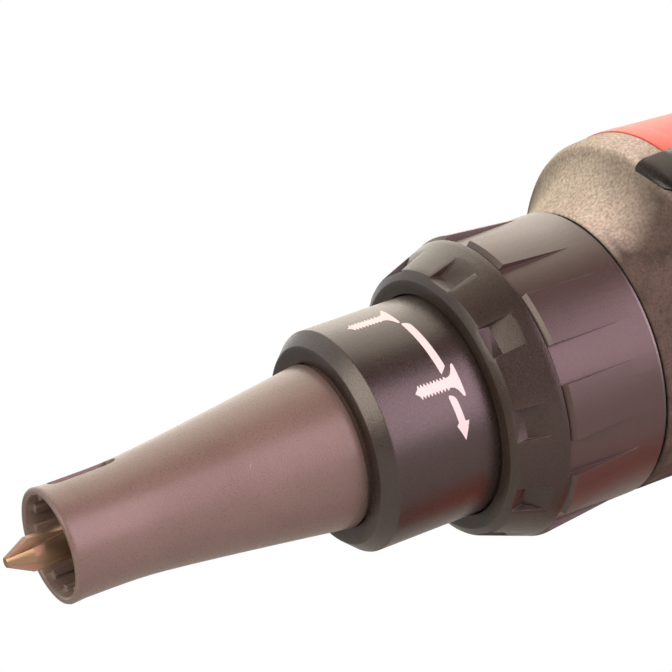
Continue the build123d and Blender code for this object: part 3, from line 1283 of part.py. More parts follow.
def battery_bottom():
    tray = battery_case() - battery_case(BATTERY_WALL)
    tray &= block(-FAR, FAR, -FAR, FAR, -OVERCUT, BATTERY_SPLIT)
    for x, y in battery_screw_places():
        tray += upright(x, y, BATTERY_FLOOR, BATTERY_SPLIT, BATTERY_BOSS_R) & battery_case()
        tray -= upright(x, y, -OVERCUT, BATTERY_SPLIT + OVERCUT, BATTERY_SCREW_R)
        tray -= upright(x, y, -OVERCUT, BATTERY_SCREW_SUNK + BATTERY_SCREW_HEAD, BATTERY_SCREW_HEAD_R + SEAT)
    return tray


def battery_screws():
    seat = BATTERY_SCREW_SUNK + BATTERY_SCREW_HEAD
    return [upright(x, y, seat, BATTERY_SPLIT + BATTERY_SCREW_BITE, BATTERY_SCREW_R)
            + upright(x, y, BATTERY_SCREW_SUNK, seat, BATTERY_SCREW_HEAD_R)
            for x, y in battery_screw_places()]


def cell_places():
    return [CELL_PITCH * (k - (CELL_COUNT - 1) / 2) for k in range(CELL_COUNT)]


def battery_cells():
    half = CELL_LENGTH / 2
    return [cross_rod(x, CELL_Z, -half, half, CELL_R) for x in cell_places()]


def cell_holder():
    length = CELL_PITCH * CELL_COUNT
    width = CELL_LENGTH - 2 * HOLDER_INSET
    frame = block(-length / 2, length / 2, -width / 2, width / 2, BATTERY_WALL, CELL_Z - HOLDER_DROP)
    for x in cell_places():
        frame -= cross_rod(x, CELL_Z, -FAR, FAR, CELL_R + SEAT)
    # A comb above the cells carries the board
    for y in (-width / 2, width / 2 - COMB):
        comb = block(-length / 2, length / 2, y, y + COMB, BATTERY_WALL, BATTERY_BOARD_Z)
        for x in cell_places():
            comb -= cross_rod(x, CELL_Z, -FAR, FAR, CELL_R + SEAT)
        frame += comb
    return frame


def battery_board():
    length = CELL_PITCH * CELL_COUNT - 2 * BOARD_INSET
    width = BATTERY_WIDTH - 2 * (LATCH_DEPTH + LATCH_TRAVEL + BOARD_INSET)
    return block(-length / 2, length / 2, -width / 2, width / 2, BATTERY_BOARD_Z, BATTERY_BOARD_Z + BOARD)


def battery_clips():
    clips = []
    low = blade_middle() - BLADE_HEIGHT / 2
    for y in blade_places():
        for side in (-1, 1):
            inner = BLADE_THICKNESS / 2 + FREE
            outer = inner + CLIP_THICKNESS
            y0 = y + min(side * inner, side * outer)
            clips.append(block(TOWER_BACK + CLIP_SETBACK, TOWER_BACK + BLADE_LENGTH + TERMINAL_MARGIN,
                               y0, y0 + CLIP_THICKNESS, low, low + BLADE_HEIGHT))
    return clips


def battery_latch(side):
    button = latch_box(side)
    face = button.faces().sort_by(Axis.Y)[-1 if side > 0 else 0]
    return fillet(face.edges(), LATCH_EDGE)


def latch_spring(side):
    length = LATCH_TRAVEL + LATCH_SPARE - 2 * SEAT
    inner = BATTERY_WIDTH / 2 + LATCH_PROUD - LATCH_DEPTH
    spring = coil(LATCH_SPRING_R, SPRING_WIRE_R, LATCH_SPRING_TURNS, length)
    place = Pos(LATCH_PLACE - LATCH_LENGTH / 2, side * (inner - SEAT), LATCH_Z + LATCH_HEIGHT / 2)
    return place * Rot(90 * side, 0, 0) * spring


def gauge_button():
    front = BATTERY_LENGTH / 2
    button = gauge_rod(front - BATTERY_WALL - GAUGE_BACK, front + GAUGE_TRAVEL, GAUGE_BUTTON_R)
    return fillet(button.faces().sort_by(Axis.X)[-1].edges(), GAUGE_EDGE)


def save(name, shape):
    """Write one node: a single solid, or a group of separate ones."""
    solids = shape if isinstance(shape, list) else [shape]
    found = [solid for piece in solids for solid in piece.solids()]
    export_step(found[0] if len(found) == 1 else Compound(children=found), f"parts/{name}.step")


def main():
    os.makedirs("parts", exist_ok=True)
    boot = front_boot()
    pads = grip_pads()
    shell = housing(boot, pads)
    pieces = {
        "phillips_bit": phillips_bit(),
        "nose_cone": nose_cone(),
        "nose_o_ring": nose_o_ring(),
        "depth_sleeve": depth_sleeve(),
        "adjuster_ring": adjuster_ring(),
        "grip_collar": grip_collar(),
        "collar_circlip": collar_circlip(),
        "collar_washer": collar_washer(),
        "spindle": spindle(),
        "bit_magnet": bit_magnet(),
        "spindle_bush": spindle_bush(),
        "spindle_seal": spindle_seal(),
        "clutch_spring": clutch_spring(),
        "drive_gear": drive_gear(),
        "gear_bearing": gear_bearing(),
        "gear_washer": gear_washer(),
        "gear_case": gear_case(),
        "gear_case_plate": gear_case_plate(),
        "gear_case_screws": gear_case_screws(),
        "motor_pinion": motor_pinion(),
        "rotor_shaft": rotor_shaft(),
        "rotor_core": rotor_core(),
        "motor_front_bearing": bearing(MOTOR_BEARING_S),
        "motor_rear_bearing": bearing(REAR_BEARING_S),
        "cooling_fan": cooling_fan(),
        "stator_core": stator_core(),
        "stator_windings": stator_windings(),
        "sensor_board": sensor_board(),
        "housing_left": half_of(shell, 1),
        "housing_right": half_of(shell, -1),
        "front_boot_left": half_of(boot, 1),
        "front_boot_right": half_of(boot, -1),
        "grip_pad_left": half_of(pads, 1),
        "grip_pad_right": half_of(pads, -1),
        "housing_screws": housing_screws(),
        "clip_inserts": clip_inserts(),
        "trigger": trigger(),
        "trigger_spring": trigger_spring(),
        "switch_body": switch_box(),
        "direction_shuttle": direction_shuttle(),
        "lock_on_button": lock_on_button(),
        "control_board": control_board_box(),
        "lamp_lens": lamp_lens(),
        "terminal_block": terminal_block(),
        "terminal_blades": terminal_blades(),
        "battery_top": battery_top(),
        "battery_bottom": battery_bottom(),
        "battery_screws": battery_screws(),
        "battery_cells": battery_cells(),
        "cell_holder": cell_holder(),
        "battery_board": battery_board(),
        "battery_clips": battery_clips(),
        "latch_left": battery_latch(1),
        "latch_right": battery_latch(-1),
        "latch_spring_left": latch_spring(1),
        "latch_spring_right": latch_spring(-1),
        "gauge_button": gauge_button(),
    }
    for name, shape in pieces.items():
        save(name, shape)


if __name__ == "__main__":
    main()
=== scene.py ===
import bpy
import json
import math
from mathutils import Matrix, Vector


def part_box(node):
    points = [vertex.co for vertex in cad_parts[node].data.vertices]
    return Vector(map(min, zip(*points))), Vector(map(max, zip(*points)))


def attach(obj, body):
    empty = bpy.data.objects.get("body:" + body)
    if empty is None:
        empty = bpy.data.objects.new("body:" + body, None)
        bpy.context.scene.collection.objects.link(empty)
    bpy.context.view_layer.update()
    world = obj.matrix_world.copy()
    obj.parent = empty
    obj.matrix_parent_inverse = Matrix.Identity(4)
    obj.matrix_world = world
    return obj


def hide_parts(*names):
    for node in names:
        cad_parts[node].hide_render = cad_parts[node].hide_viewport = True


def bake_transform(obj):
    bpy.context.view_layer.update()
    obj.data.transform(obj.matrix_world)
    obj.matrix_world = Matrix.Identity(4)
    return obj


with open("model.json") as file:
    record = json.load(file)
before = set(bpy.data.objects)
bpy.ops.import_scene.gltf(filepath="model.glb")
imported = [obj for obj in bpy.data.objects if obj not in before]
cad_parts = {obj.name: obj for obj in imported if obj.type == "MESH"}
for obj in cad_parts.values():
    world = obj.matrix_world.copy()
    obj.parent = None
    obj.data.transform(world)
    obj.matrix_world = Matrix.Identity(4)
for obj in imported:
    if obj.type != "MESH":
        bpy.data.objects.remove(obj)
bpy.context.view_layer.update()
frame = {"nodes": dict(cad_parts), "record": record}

MM = 0.001
nodes = frame["nodes"]
slot_of = {part["node"]: part["material_slot"] for part in frame["record"]["subparts"]}

# The spindle's line and the nose rim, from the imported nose
nose_low, nose_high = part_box("nose_cone")
AXIS_Z = (nose_low.z + nose_high.z) / 2
RIM_X = nose_high.x
SPINDLE_POINT = (0, 0, AXIS_Z)


def behind_rim(x):
    return (RIM_X - x) / MM


sleeve_low, sleeve_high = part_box("depth_sleeve")
ring_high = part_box("adjuster_ring")[1]
collar_low, collar_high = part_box("grip_collar")

SLEEVE_S = behind_rim(sleeve_high.x)
SLEEVE_END = behind_rim(sleeve_low.x)
SLEEVE_R = sleeve_high.y / MM
RING_S = behind_rim(ring_high.x)
COLLAR_S = behind_rim(collar_high.x)
COLLAR_END = behind_rim(collar_low.x)
SKIRT_END = behind_rim(nose_low.x)

# Sizes below are in millimetres and degrees. s runs back from the nose rim, r out from the spindle's line.

# How far a cutter reaches past the piece that it cuts
CUT_OVER = 1.0

# Nose
RIM_R = 10.5
RIM_LIP = [(0.0, 0.5), (0.15, 0.2), (0.5, 0.05), (1.2, 0.1)]  # s, and depth under the rim's radius
MOUTH_LIP = [(0.3, 0.65), (0.0, 1.0)]  # s, and height over the bore's radius
MOUTH_CONE = 2.6
NECK_R = 10.25
NECK_START = 3.0
NECK_END = 14.0
NOSE_END = 54.4
NOSE_BACK_R = 15.3
FLARE_POWER = 1.1
FLARE_EASE = 0.09
FLARE_STEPS = 20
BORE_R = 8.5
SKIRT_R = 15.0
SKIRT_BORE_R = 13.3
RIB_COUNT = 12
RIB_WIDTH = 1.5
RIB_HEIGHT = 0.6
RIB_ROOT = 0.6  # into the wall
RIB_START = 1.6
RIB_TURN = 15.0
SLOT_START = 2.8
SLOT_LENGTH = 13.0
SLOT_WIDTH = 3.6
SLOT_END_R = 0.499 * SLOT_WIDTH
SLOT_END_STEPS = 8
O_RING_FROM_END = 4.5
O_RING_GROOVE = 0.95
O_RING_GROOVE_R = 13.4
NOSE_WITNESS = 35.0
NOSE_EDGE = 0.12

# Drum
DRUM_FACE_R = 18.5
DRUM_CHAMFER = 2.5
DRUM_BORE_R = 15.3
DRUM_WALL = 2.1
DRUM_WEB_S = 66.2
DRUM_WEB_END = 69.2
DRUM_HUB_R = 14.0
DRUM_HUB_BORE_R = 11.8
DRUM_HUB_END = 91.8
KEYWAY_COUNT = 2
KEYWAY_R = 12.8
KEYWAY_WIDTH = 3.6
DRUM_EDGE = 0.22

# Signs on the drum: half a screw as (s behind its tip, half width),
# and the start of a band as (turn, share of its half width)
SIGN_LIFT = 0.02
SIGN_THICK = 0.03
SIGN_CUTS = 3
SCREW_TIP = [(0.0, 0.0), (0.72, 0.66), (1.0, 1.3), (1.14, 1.28)]
SCREW_THREAD = [(0.14, 0.80), (0.28, 0.78), (0.46, 1.29), (0.6, 1.29)]
SCREW_THREAD_START = 1.15
SCREW_THREADS = 8
SCREW_PITCH = 0.71
SCREW_HEAD = [(7.05, 0.94), (7.6, 1.02), (8.05, 1.22), (8.4, 1.58), (8.7, 2.05), (8.9, 2.5), (9.06, 2.86),
              (9.22, 3.05), (9.42, 3.1), (9.58, 3.02), (9.65, 2.82), (9.65, 1.4)]
BAND_SLANT = [(2.6, 0.92), (1.4, 0.62), (0.5, 0.1), (0.0, -0.7), (1.2, -0.98)]
BAND_SLANT_END = 4
BAND_STEP = 1.5

# Notched ring and collar
RING_FACE_R = 23.6
RING_SHOULDER_R = 25.2
RING_SHOULDER = 1.0
RING_CROWN_R = 28.25
RING_CROWN_FROM_END = 0.3
RING_BACK_R = 27.9
RING_BORE_R = 21.0
RING_TRIM = 0.7  # edge between ring and collar, in front of the solids'
RING_EDGE = 0.12
RING_EDGE_ANGLE = 24.0
BROW_STEPS = 8
NOTCH_COUNT = 10
NOTCH_PHASE = 26.8
NOTCH_WIDTH = 6.0
NOTCH_LENGTH = 6.6
NOTCH_VALLEY = 2.6
NOTCH_VALLEY_R = 24.3
NOTCH_RUN_OUT = 0.15
NOTCH_LEAD = 0.3
NOTCH_FRONT_DEPTH = 0.4
COLLAR_R = 27.4
LAND_WIDTH = 21.0
LAND_LENGTH = 15.6
LAND_SINK = 0.06
LAND_ROOT = 0.6  # into the collar
LAND_STEPS = 7
LAND_HEIGHT = 1.3
LAND_CHAMFER = 1.0
LAND_FRONT_R = 27.6
COLLAR_BORE_R = 24.05
COLLAR_CLIP_BORE_R = 25.6
COLLAR_SHOULDER = 91.85
COLLAR_EDGE = 0.05

# Rubber boot, with its crest as (s, height over the spindle's line)
BOOT_MOUTH_R = 27.3
BOOT_LIP = [(0.25, 1.3), (0.0, 0.4), (0.35, 0.0)]  # behind the mouth, and under its radius
BOOT_FLOOR_R = 27.4
BOOT_STEPS = 96
BOOT_SKIN = 1.2
BOOT_CREST = [(112.2, 27.36), (113.8, 27.8), (115.4, 28.75), (117.0, 30.1), (118.6, 31.75), (120.2, 33.6),
              (121.3, 35.2), (122.0, 36.25), (122.5, 36.8), (123.0, 37.08), (123.8, 37.2), (125.6, 37.33),
              (127.0, 37.4), (128.2, 37.45)]

# Front edge of the red cover as (s, r) and outline of the bare plate as (s, turn),
# both round the barrel's line, which lies higher than the spindle's
BARREL_LIFT = 5.2
BARREL_R = 31.4
COVER_EDGE = [(128.3, 31.3), (128.3, 32.3), (128.45, 32.44), (130.0, 32.48), (131.6, 32.42), (133.0, 32.26),
              (133.0, 31.3)]
BARE_PLATE = [(120.0, 33.6), (120.6, 32.8), (121.7, 32.5), (128.5, 32.7), (146.0, 31.6), (147.2, 32.6),
              (147.6, 34.0), (147.6, 58.0), (147.0, 59.4), (145.8, 60.0), (128.1, 60.0), (126.9, 59.6),
              (126.1, 58.4), (120.3, 35.4)]
PLATE_DRAWN_R = 32.0
PLATE_FORM_END = 150.0
PLATE_PROUD = 0.85
PLATE_THICK = 1.0
PLATE_EDGE = 0.1
PLATE_CUTS = 7

# Facets of what is turned, the gap that is closed up, and the angles under which an edge is shaded smooth
ROUND_STEPS = 120
JOIN_GAP = 0.002
CORNER_ANGLE = 32.0
PRINT_ANGLE = 40.0
SKIN_ANGLE = 50.0

# Side of a sheet on which its thickness grows
OUTWARDS = 1.0
INWARDS = -1.0


# Modelling


def fresh():
    """Leave edit mode and let go of everything."""
    if bpy.context.object and bpy.context.object.mode != "OBJECT":
        bpy.ops.object.mode_set(mode="OBJECT")
    bpy.ops.object.select_all(action="DESELECT")


def take(piece):
    fresh()
    piece.select_set(True)
    bpy.context.view_layer.objects.active = piece


def edit(piece):
    take(piece)
    bpy.ops.object.mode_set(mode="EDIT")
    bpy.ops.mesh.select_all(action="SELECT")


def on_spindle(s, r, angle=0.0):
    """A point s behind the rim and r from the spindle's line, turned from the top towards the left."""
    turn = math.radians(angle)
    return Vector((RIM_X - s * MM, r * MM * math.sin(turn), AXIS_Z + r * MM * math.cos(turn)))


def chain(name, points, closed=True):
    """A line of edges through the points, drawn from one vertex."""
    fresh()
    bpy.ops.mesh.primitive_plane_add(size=MM)
    piece = bpy.context.object
    piece.name = name
    bpy.ops.object.mode_set(mode="EDIT")
    bpy.ops.mesh.select_mode(type="VERT")
    bpy.ops.mesh.select_all(action="SELECT")
    bpy.ops.mesh.merge(type="CENTER")
    bpy.ops.transform.translate(value=points[0])
    for here, there in zip(points, points[1:]):
        bpy.ops.mesh.extrude_vertices_move(TRANSFORM_OT_translate={"value": there - here})
    if closed:
        bpy.ops.mesh.select_all(action="SELECT")
        bpy.ops.mesh.edge_face_add()
        bpy.ops.mesh.delete(type="ONLY_FACE")
    bpy.ops.mesh.select_all(action="SELECT")
    return piece


def close_up():
    """Merge what meets, and turn the faces outwards."""
    bpy.ops.mesh.select_all(action="SELECT")
    bpy.ops.mesh.remove_doubles(threshold=JOIN_GAP * MM)
    bpy.ops.mesh.normals_make_consistent(inside=False)


def lathe(name, outline, arc=360.0, phase=0.0, steps=ROUND_STEPS):
    """Turn a closed outline of (s, r) points round the spindle."""
    piece = chain(name, [on_spindle(s, r, phase) for s, r in outline])
    if arc < 360.0:
        bpy.ops.mesh.edge_face_add()
    bpy.ops.mesh.spin(steps=steps, angle=math.radians(arc), center=SPINDLE_POINT, axis=(1, 0, 0))
    close_up()
    fresh()
    return piece


def block(name, low, high):
    """A box between two corners, to be shaped further."""
    fresh()
    bpy.ops.mesh.primitive_cube_add(size=1.0)
    piece = bpy.context.object
    piece.name = name
    bpy.ops.object.mode_set(mode="EDIT")
    bpy.ops.mesh.select_all(action="SELECT")
    bpy.ops.transform.resize(value=high - low)
    bpy.ops.transform.translate(value=(low + high) / 2)
    return piece


def pick_edges(piece, wanted):
    """Select the edges for which wanted(first, second) holds."""
    bpy.ops.mesh.select_all(action="DESELECT")
    bpy.ops.object.mode_set(mode="OBJECT")
    mesh = piece.data
    for edge in mesh.edges:
        first, second = (mesh.vertices[i].co for i in edge.vertices)
        edge.select = wanted(first, second)
    bpy.ops.object.mode_set(mode="EDIT")
    bpy.ops.mesh.select_mode(type="EDGE")


def around(count):
    """Copy what is selected round the spindle until there are count of it."""
    bpy.ops.mesh.spin(steps=count - 1, angle=math.tau * (count - 1) / count, dupli=True, center=SPINDLE_POINT,
                      axis=(1, 0, 0))
    close_up()


def wedge(name, outline, phase, width):
    """Push a closed outline of (s, r) points sideways across the spindle, width wide."""
    turn = math.radians(phase)
    across = Vector((0, math.cos(turn), -math.sin(turn))) * width * MM
    piece = chain(name, [on_spindle(s, r, phase) - across / 2 for s, r in outline])
    bpy.ops.mesh.edge_face_add()
    bpy.ops.mesh.extrude_region_move(TRANSFORM_OT_translate={"value": across})
    close_up()
    return piece


def apply(piece, kind, **settings):
    take(piece)
    modifier = piece.modifiers.new(kind.lower(), kind)
    for name, value in settings.items():
        setattr(modifier, name, value)
    bpy.ops.object.modifier_apply(modifier=modifier.name)


def cut(piece, cutter):
    apply(piece, "BOOLEAN", operation="DIFFERENCE", solver="EXACT", object=cutter)
    bpy.data.objects.remove(cutter)


def weld(piece, other):
    apply(piece, "BOOLEAN", operation="UNION", solver="EXACT", object=other)
    bpy.data.objects.remove(other)


def smooth(piece, angle=CORNER_ANGLE):
    take(piece)
    bpy.ops.object.shade_smooth_by_angle(angle=math.radians(angle))
    fresh()


def soften(piece, width, angle=CORNER_ANGLE, segments=2):
    """Round the sharp edges and shade the rest smooth."""
    apply(piece, "BEVEL", width=width * MM, segments=segments, limit_method="ANGLE",
          angle_limit=math.radians(angle), use_clamp_overlap=True, miter_outer="MITER_ARC")
    smooth(piece, angle)


def laid_sheet(name, points, cuts, thickness, side, target, wrap_mode, lift=0.0):
    """A thin sheet from a closed outline, laid on another piece and then given its thickness."""
    sheet = chain(name, points)
    bpy.ops.mesh.edge_face_add()
    bpy.ops.mesh.quads_convert_to_tris(ngon_method="BEAUTY")
    bpy.ops.mesh.subdivide(number_cuts=cuts)
    fresh()
    apply(sheet, "SHRINKWRAP", target=target, wrap_method="NEAREST_SURFACEPOINT", wrap_mode=wrap_mode,
          offset=lift * MM)
    edit(sheet)
    bpy.ops.mesh.normals_make_consistent(inside=False)
    fresh()
    apply(sheet, "SOLIDIFY", thickness=thickness * MM, offset=side)
    return sheet


def dress(piece, body, material, *replaced):
    """Give a piece its finish and its body, and hide the nodes that it stands in for."""
    piece.data.materials.clear()
    piece.data.materials.append(material)
    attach(piece, body)
    if replaced:
        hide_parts(*replaced)
    return piece


# Node groups

# Places of the colour sockets on a Mix node
MIX_COLOURS_IN = (0, 6, 7)
MIX_COLOUR_OUT = 2


def feed(tree, socket, value):
    """Join a socket to the one that feeds it, or set its value."""
    if isinstance(value, bpy.types.NodeSocket):
        tree.links.new(value, socket)
    else:
        socket.default_value = value


def put(tree, kind, settings=None, **inputs):
    """Add a node, set it up and feed its inputs."""
    made = tree.nodes.new(kind)
    for name, value in (settings or {}).items():
        setattr(made, name, value)
    for name, value in inputs.items():
        feed(tree, made.inputs[name.replace("_", " ")], value)
    return made


def maths(tree, operation, first, second=0.0, clamp=False):
    made = tree.nodes.new("ShaderNodeMath")
    made.operation = operation
    made.use_clamp = clamp
    for socket, value in zip(made.inputs, (first, second)):
        feed(tree, socket, value)
    return made.outputs[0]


def blend_colour(tree, factor, first, second, how="MIX"):
    made = put(tree, "ShaderNodeMix", {"data_type": "RGBA", "blend_type": how})
    for index, value in zip(MIX_COLOURS_IN, (factor, first, second)):
        feed(tree, made.inputs[index], value)
    return made.outputs[MIX_COLOUR_OUT]


def ramp(tree, value, low, high, start=0.0, end=1.0):
    """Stretch a value from low and high to start and end."""
    made = put(tree, "ShaderNodeMapRange", {"clamp": True}, Value=value, From_Min=low, From_Max=high,
               To_Min=start, To_Max=end)
    return made.outputs[0]


def new_group(name, inputs, outputs):
    group = bpy.data.node_groups.new(name, "ShaderNodeTree")
    for label, kind, value in inputs:
        socket = group.interface.new_socket(label, in_out="INPUT", socket_type=kind)
        socket.default_value = value
    for label, kind in outputs:
        group.interface.new_socket(label, in_out="OUTPUT", socket_type=kind)
    return group, group.nodes.new("NodeGroupInput").outputs, group.nodes.new("NodeGroupOutput").inputs


FLOAT = "NodeSocketFloat"
VECTOR = "NodeSocketVector"
CORNER_SPAN = (0.985, 0.8)
# How much facing forward and facing up count for the dust mask, which is also painted top light where it is
# thick
DUST_AND_LIGHT_FORWARD = 0.33
DUST_AND_LIGHT_UP = 0.94
DUST_AND_LIGHT_SPAN = (0.66, 0.90)


def mould_grain():
    """Fine spark-eroded grain of moulded plastic and rubber, with a slow change of tone."""
    group, given, result = new_group("mould_grain", [("Scale", FLOAT, 2000.0), ("Roughen", FLOAT, 0.5),
                                                     ("Patches", FLOAT, 38.0)],
                                     [("Height", FLOAT), ("Tone", FLOAT)])
    place = put(group, "ShaderNodeTexCoord").outputs["Object"]
    fine = put(group, "ShaderNodeTexNoise", Vector=place, Scale=given["Scale"], Detail=3.0, Roughness=0.65)
    pits = put(group, "ShaderNodeTexVoronoi", {"feature": "SMOOTH_F1"}, Vector=place, Scale=given["Scale"])
    height = maths(group, "ADD", maths(group, "MULTIPLY", pits.outputs["Distance"], given["Roughen"]),
                   fine.outputs["Fac"])
    slow = put(group, "ShaderNodeTexNoise", Vector=place, Scale=given["Patches"], Detail=4.0, Roughness=0.6)
    group.links.new(height, result["Height"])
    group.links.new(slow.outputs["Fac"], result["Tone"])
    return group


def edge_wear():
    """Mask of the corners that hands and benches rub."""
    group, given, result = new_group("edge_wear", [("Radius", FLOAT, 0.0006), ("Amount", FLOAT, 0.5)],
                                     [("Mask", FLOAT)])
    place = put(group, "ShaderNodeTexCoord").outputs["Object"]
    straight = put(group, "ShaderNodeNewGeometry").outputs["Normal"]
    round_off = put(group, "ShaderNodeBevel", {"samples": 4}, Radius=given["Radius"]).outputs["Normal"]
    same = put(group, "ShaderNodeVectorMath", {"operation": "DOT_PRODUCT"})
    group.links.new(straight, same.inputs[0])
    group.links.new(round_off, same.inputs[1])
    corner = ramp(group, same.outputs["Value"], *CORNER_SPAN)
    patches = put(group, "ShaderNodeTexNoise", Vector=place, Scale=160.0, Detail=5.0, Roughness=0.7)
    broken = ramp(group, patches.outputs["Fac"], 0.4, 0.65)
    mask = maths(group, "MULTIPLY", maths(group, "MULTIPLY", corner, broken), given["Amount"], clamp=True)
    group.links.new(mask, result["Mask"])
    return group


def dust_and_painted_top_light():
    """Mask of plaster dust on what faces up and towards the nose, which is also painted top light where it is
    laid on thick.
    """
    group, given, result = new_group("dust_and_painted_top_light", [("Amount", FLOAT, 0.2)], [("Mask", FLOAT)])
    place = put(group, "ShaderNodeTexCoord").outputs["Object"]
    facing = put(group, "ShaderNodeSeparateXYZ", Vector=put(group, "ShaderNodeNewGeometry").outputs["Normal"])
    towards = maths(group, "ADD", maths(group, "MULTIPLY", facing.outputs["X"], DUST_AND_LIGHT_FORWARD),
                    maths(group, "MULTIPLY", facing.outputs["Z"], DUST_AND_LIGHT_UP))
    up = ramp(group, towards, *DUST_AND_LIGHT_SPAN)
    cloud = put(group, "ShaderNodeTexNoise", Vector=place, Scale=70.0, Detail=6.0, Roughness=0.7)
    specks = put(group, "ShaderNodeTexNoise", Vector=place, Scale=1700.0, Detail=3.0, Roughness=0.6)
    drift = ramp(group, cloud.outputs["Fac"], 0.30, 0.70, 0.65, 1.0)
    crumbs = ramp(group, specks.outputs["Fac"], 0.34, 0.64, 0.50, 1.0)
    both = maths(group, "MULTIPLY", drift, crumbs)
    mask = maths(group, "MULTIPLY", maths(group, "MULTIPLY", both, up), given["Amount"], clamp=True)
    group.links.new(mask, result["Mask"])
    return group


def rounded_relief():
    """Normal with softened corners and a relief on top."""
    group, given, result = new_group(
        "rounded_relief", [("Radius", FLOAT, 0.0004), ("Height", FLOAT, 0.0), ("Strength", FLOAT, 0.3),
                           ("Distance", FLOAT, 0.0002)], [("Normal", VECTOR)])
    corner = put(group, "ShaderNodeBevel", {"samples": 4}, Radius=given["Radius"]).outputs["Normal"]
    relief = put(group, "ShaderNodeBump", Height=given["Height"], Strength=given["Strength"],
                 Distance=given["Distance"], Normal=corner)
    group.links.new(relief.outputs["Normal"], result["Normal"])
    return group


def scuff_band():
    """Mask of a faint witness line round a moulding, with scuffs along it."""
    group, given, result = new_group("scuff_band", [("Place", FLOAT, 0.0), ("Reach", FLOAT, 0.001)],
                                     [("Mask", FLOAT)])
    place = put(group, "ShaderNodeTexCoord").outputs["Object"]
    along = put(group, "ShaderNodeSeparateXYZ", Vector=place).outputs["X"]
    away = maths(group, "ABSOLUTE", maths(group, "SUBTRACT", along, given["Place"]))
    near = ramp(group, maths(group, "DIVIDE", away, given["Reach"]), 1.0, 0.3)
    line = ramp(group, maths(group, "DIVIDE", away, given["Reach"]), 0.12, 0.04, 0.0, 0.05)
    marks = put(group, "ShaderNodeTexNoise", Vector=place, Scale=420.0, Detail=3.0, Roughness=0.6)
    scuffs = maths(group, "MULTIPLY", near, ramp(group, marks.outputs["Fac"], 0.63, 0.78))
    group.links.new(maths(group, "MAXIMUM", line, scuffs), result["Mask"])
    return group


GRAIN = mould_grain()
WEAR = edge_wear()
DUST_AND_TOP_LIGHT = dust_and_painted_top_light()
RELIEF = rounded_relief()
SCUFFS = scuff_band()
# Colour of plaster dust, which also serves as painted top light on the tops of the rubber
PLASTER_AND_TOP_LIGHT = (0.83, 0.76, 0.65, 1)
PLASTER_ROUGHNESS = 0.3
GRAIN_SPAN = (0.45, 0.9)
TONE_SPAN = (0.3, 0.7)
GLOSS_SPREAD = 0.07
WEAR_REACH = 1.5
STAIN_SPAN = (0.45, 0.75)
STAIN_SHADE = 0.55
POLISHED = -0.08
DULLED = 0.1


def new_material(name):
    material = bpy.data.materials.new(name)
    material.use_nodes = True
    tree = material.node_tree
    return material, tree, tree.nodes["Principled BSDF"]


def place_group(tree, group, **inputs):
    return put(tree, "ShaderNodeGroup", {"node_tree": group}, **inputs).outputs


def shade(colour, amount):
    """A darker or lighter tone of a colour."""
    return tuple(channel * amount for channel in colour[:3]) + (1,)


def moulded(name, colour, worn, roughness, grain_size=0.35, relief=0.25, depth=0.05, edge=0.4, wear=0.5,
            dust=0.1, mottle=0.12, speckle=0.12, patches=38.0, pits=0.25, specular=0.5, scuffs=None):
    """A moulded plastic or rubber: grain, slow change of tone, rubbed corners, and dust on the tops that is
    partly painted top light.
    """
    material, tree, shader = new_material(name)
    shader.inputs["Specular IOR Level"].default_value = specular
    grain = place_group(tree, GRAIN, Scale=1 / (grain_size * MM), Roughen=pits, Patches=patches)
    slow = ramp(tree, grain["Tone"], *TONE_SPAN, 1 - mottle, 1 + mottle)
    fine = ramp(tree, grain["Height"], *GRAIN_SPAN, 1 - speckle, 1 + speckle)
    base = blend_colour(tree, 1.0, colour, maths(tree, "MULTIPLY", slow, fine), "MULTIPLY")
    if scuffs:
        marks = place_group(tree, SCUFFS, Place=RIM_X - scuffs * MM)
        base = blend_colour(tree, marks["Mask"], base, worn)
    rubbed = place_group(tree, WEAR, Radius=WEAR_REACH * edge * MM, Amount=wear)
    base = blend_colour(tree, rubbed["Mask"], base, worn)
    # Dust on what faces up and towards the nose; at a high amount it is also painted top light
    dusted_and_top_lit = place_group(tree, DUST_AND_TOP_LIGHT, Amount=dust)
    base = blend_colour(tree, dusted_and_top_lit["Mask"], base, PLASTER_AND_TOP_LIGHT)
    tree.links.new(base, shader.inputs["Base Color"])
    gloss = ramp(tree, grain["Height"], *GRAIN_SPAN, roughness - GLOSS_SPREAD, roughness + GLOSS_SPREAD)
    dull = maths(tree, "MULTIPLY", dusted_and_top_lit["Mask"], PLASTER_ROUGHNESS)
    tree.links.new(maths(tree, "ADD", gloss, dull, clamp=True), shader.inputs["Roughness"])
    normal = place_group(tree, RELIEF, Radius=edge * MM, Height=grain["Height"], Strength=relief,
                         Distance=depth * MM)
    tree.links.new(normal["Normal"], shader.inputs["Normal"])
    return material


def metal(name, colour, worn, roughness, grain_size=0.25, stretch=(1, 1, 1), relief=0.15, depth=0.01,
          edge=0.15, wear=0.4, stain=0.25):
    """A worked metal: tool marks along one way, brighter rubbed corners and stains."""
    material, tree, shader = new_material(name)
    shader.inputs["Metallic"].default_value = 1.0
    place = put(tree, "ShaderNodeMapping", Vector=put(tree, "ShaderNodeTexCoord").outputs["Object"],
                Scale=stretch)
    marks = put(tree, "ShaderNodeTexNoise", Vector=place.outputs["Vector"], Scale=1 / (grain_size * MM),
                Detail=4.0, Roughness=0.6)
    grain = place_group(tree, GRAIN, Scale=400.0, Roughen=0.2)
    spots = ramp(tree, grain["Tone"], *STAIN_SPAN, 0.0, stain)
    base = blend_colour(tree, spots, colour, shade(colour, STAIN_SHADE))
    rubbed = place_group(tree, WEAR, Radius=WEAR_REACH * edge * MM, Amount=wear)
    tree.links.new(blend_colour(tree, rubbed["Mask"], base, worn), shader.inputs["Base Color"])
    gloss = ramp(tree, marks.outputs["Fac"], *TONE_SPAN, roughness + POLISHED, roughness + DULLED)
    tree.links.new(gloss, shader.inputs["Roughness"])
    normal = place_group(tree, RELIEF, Radius=edge * MM, Height=marks.outputs["Fac"], Strength=relief,
                         Distance=depth * MM)
    tree.links.new(normal["Normal"], shader.inputs["Normal"])
    return material


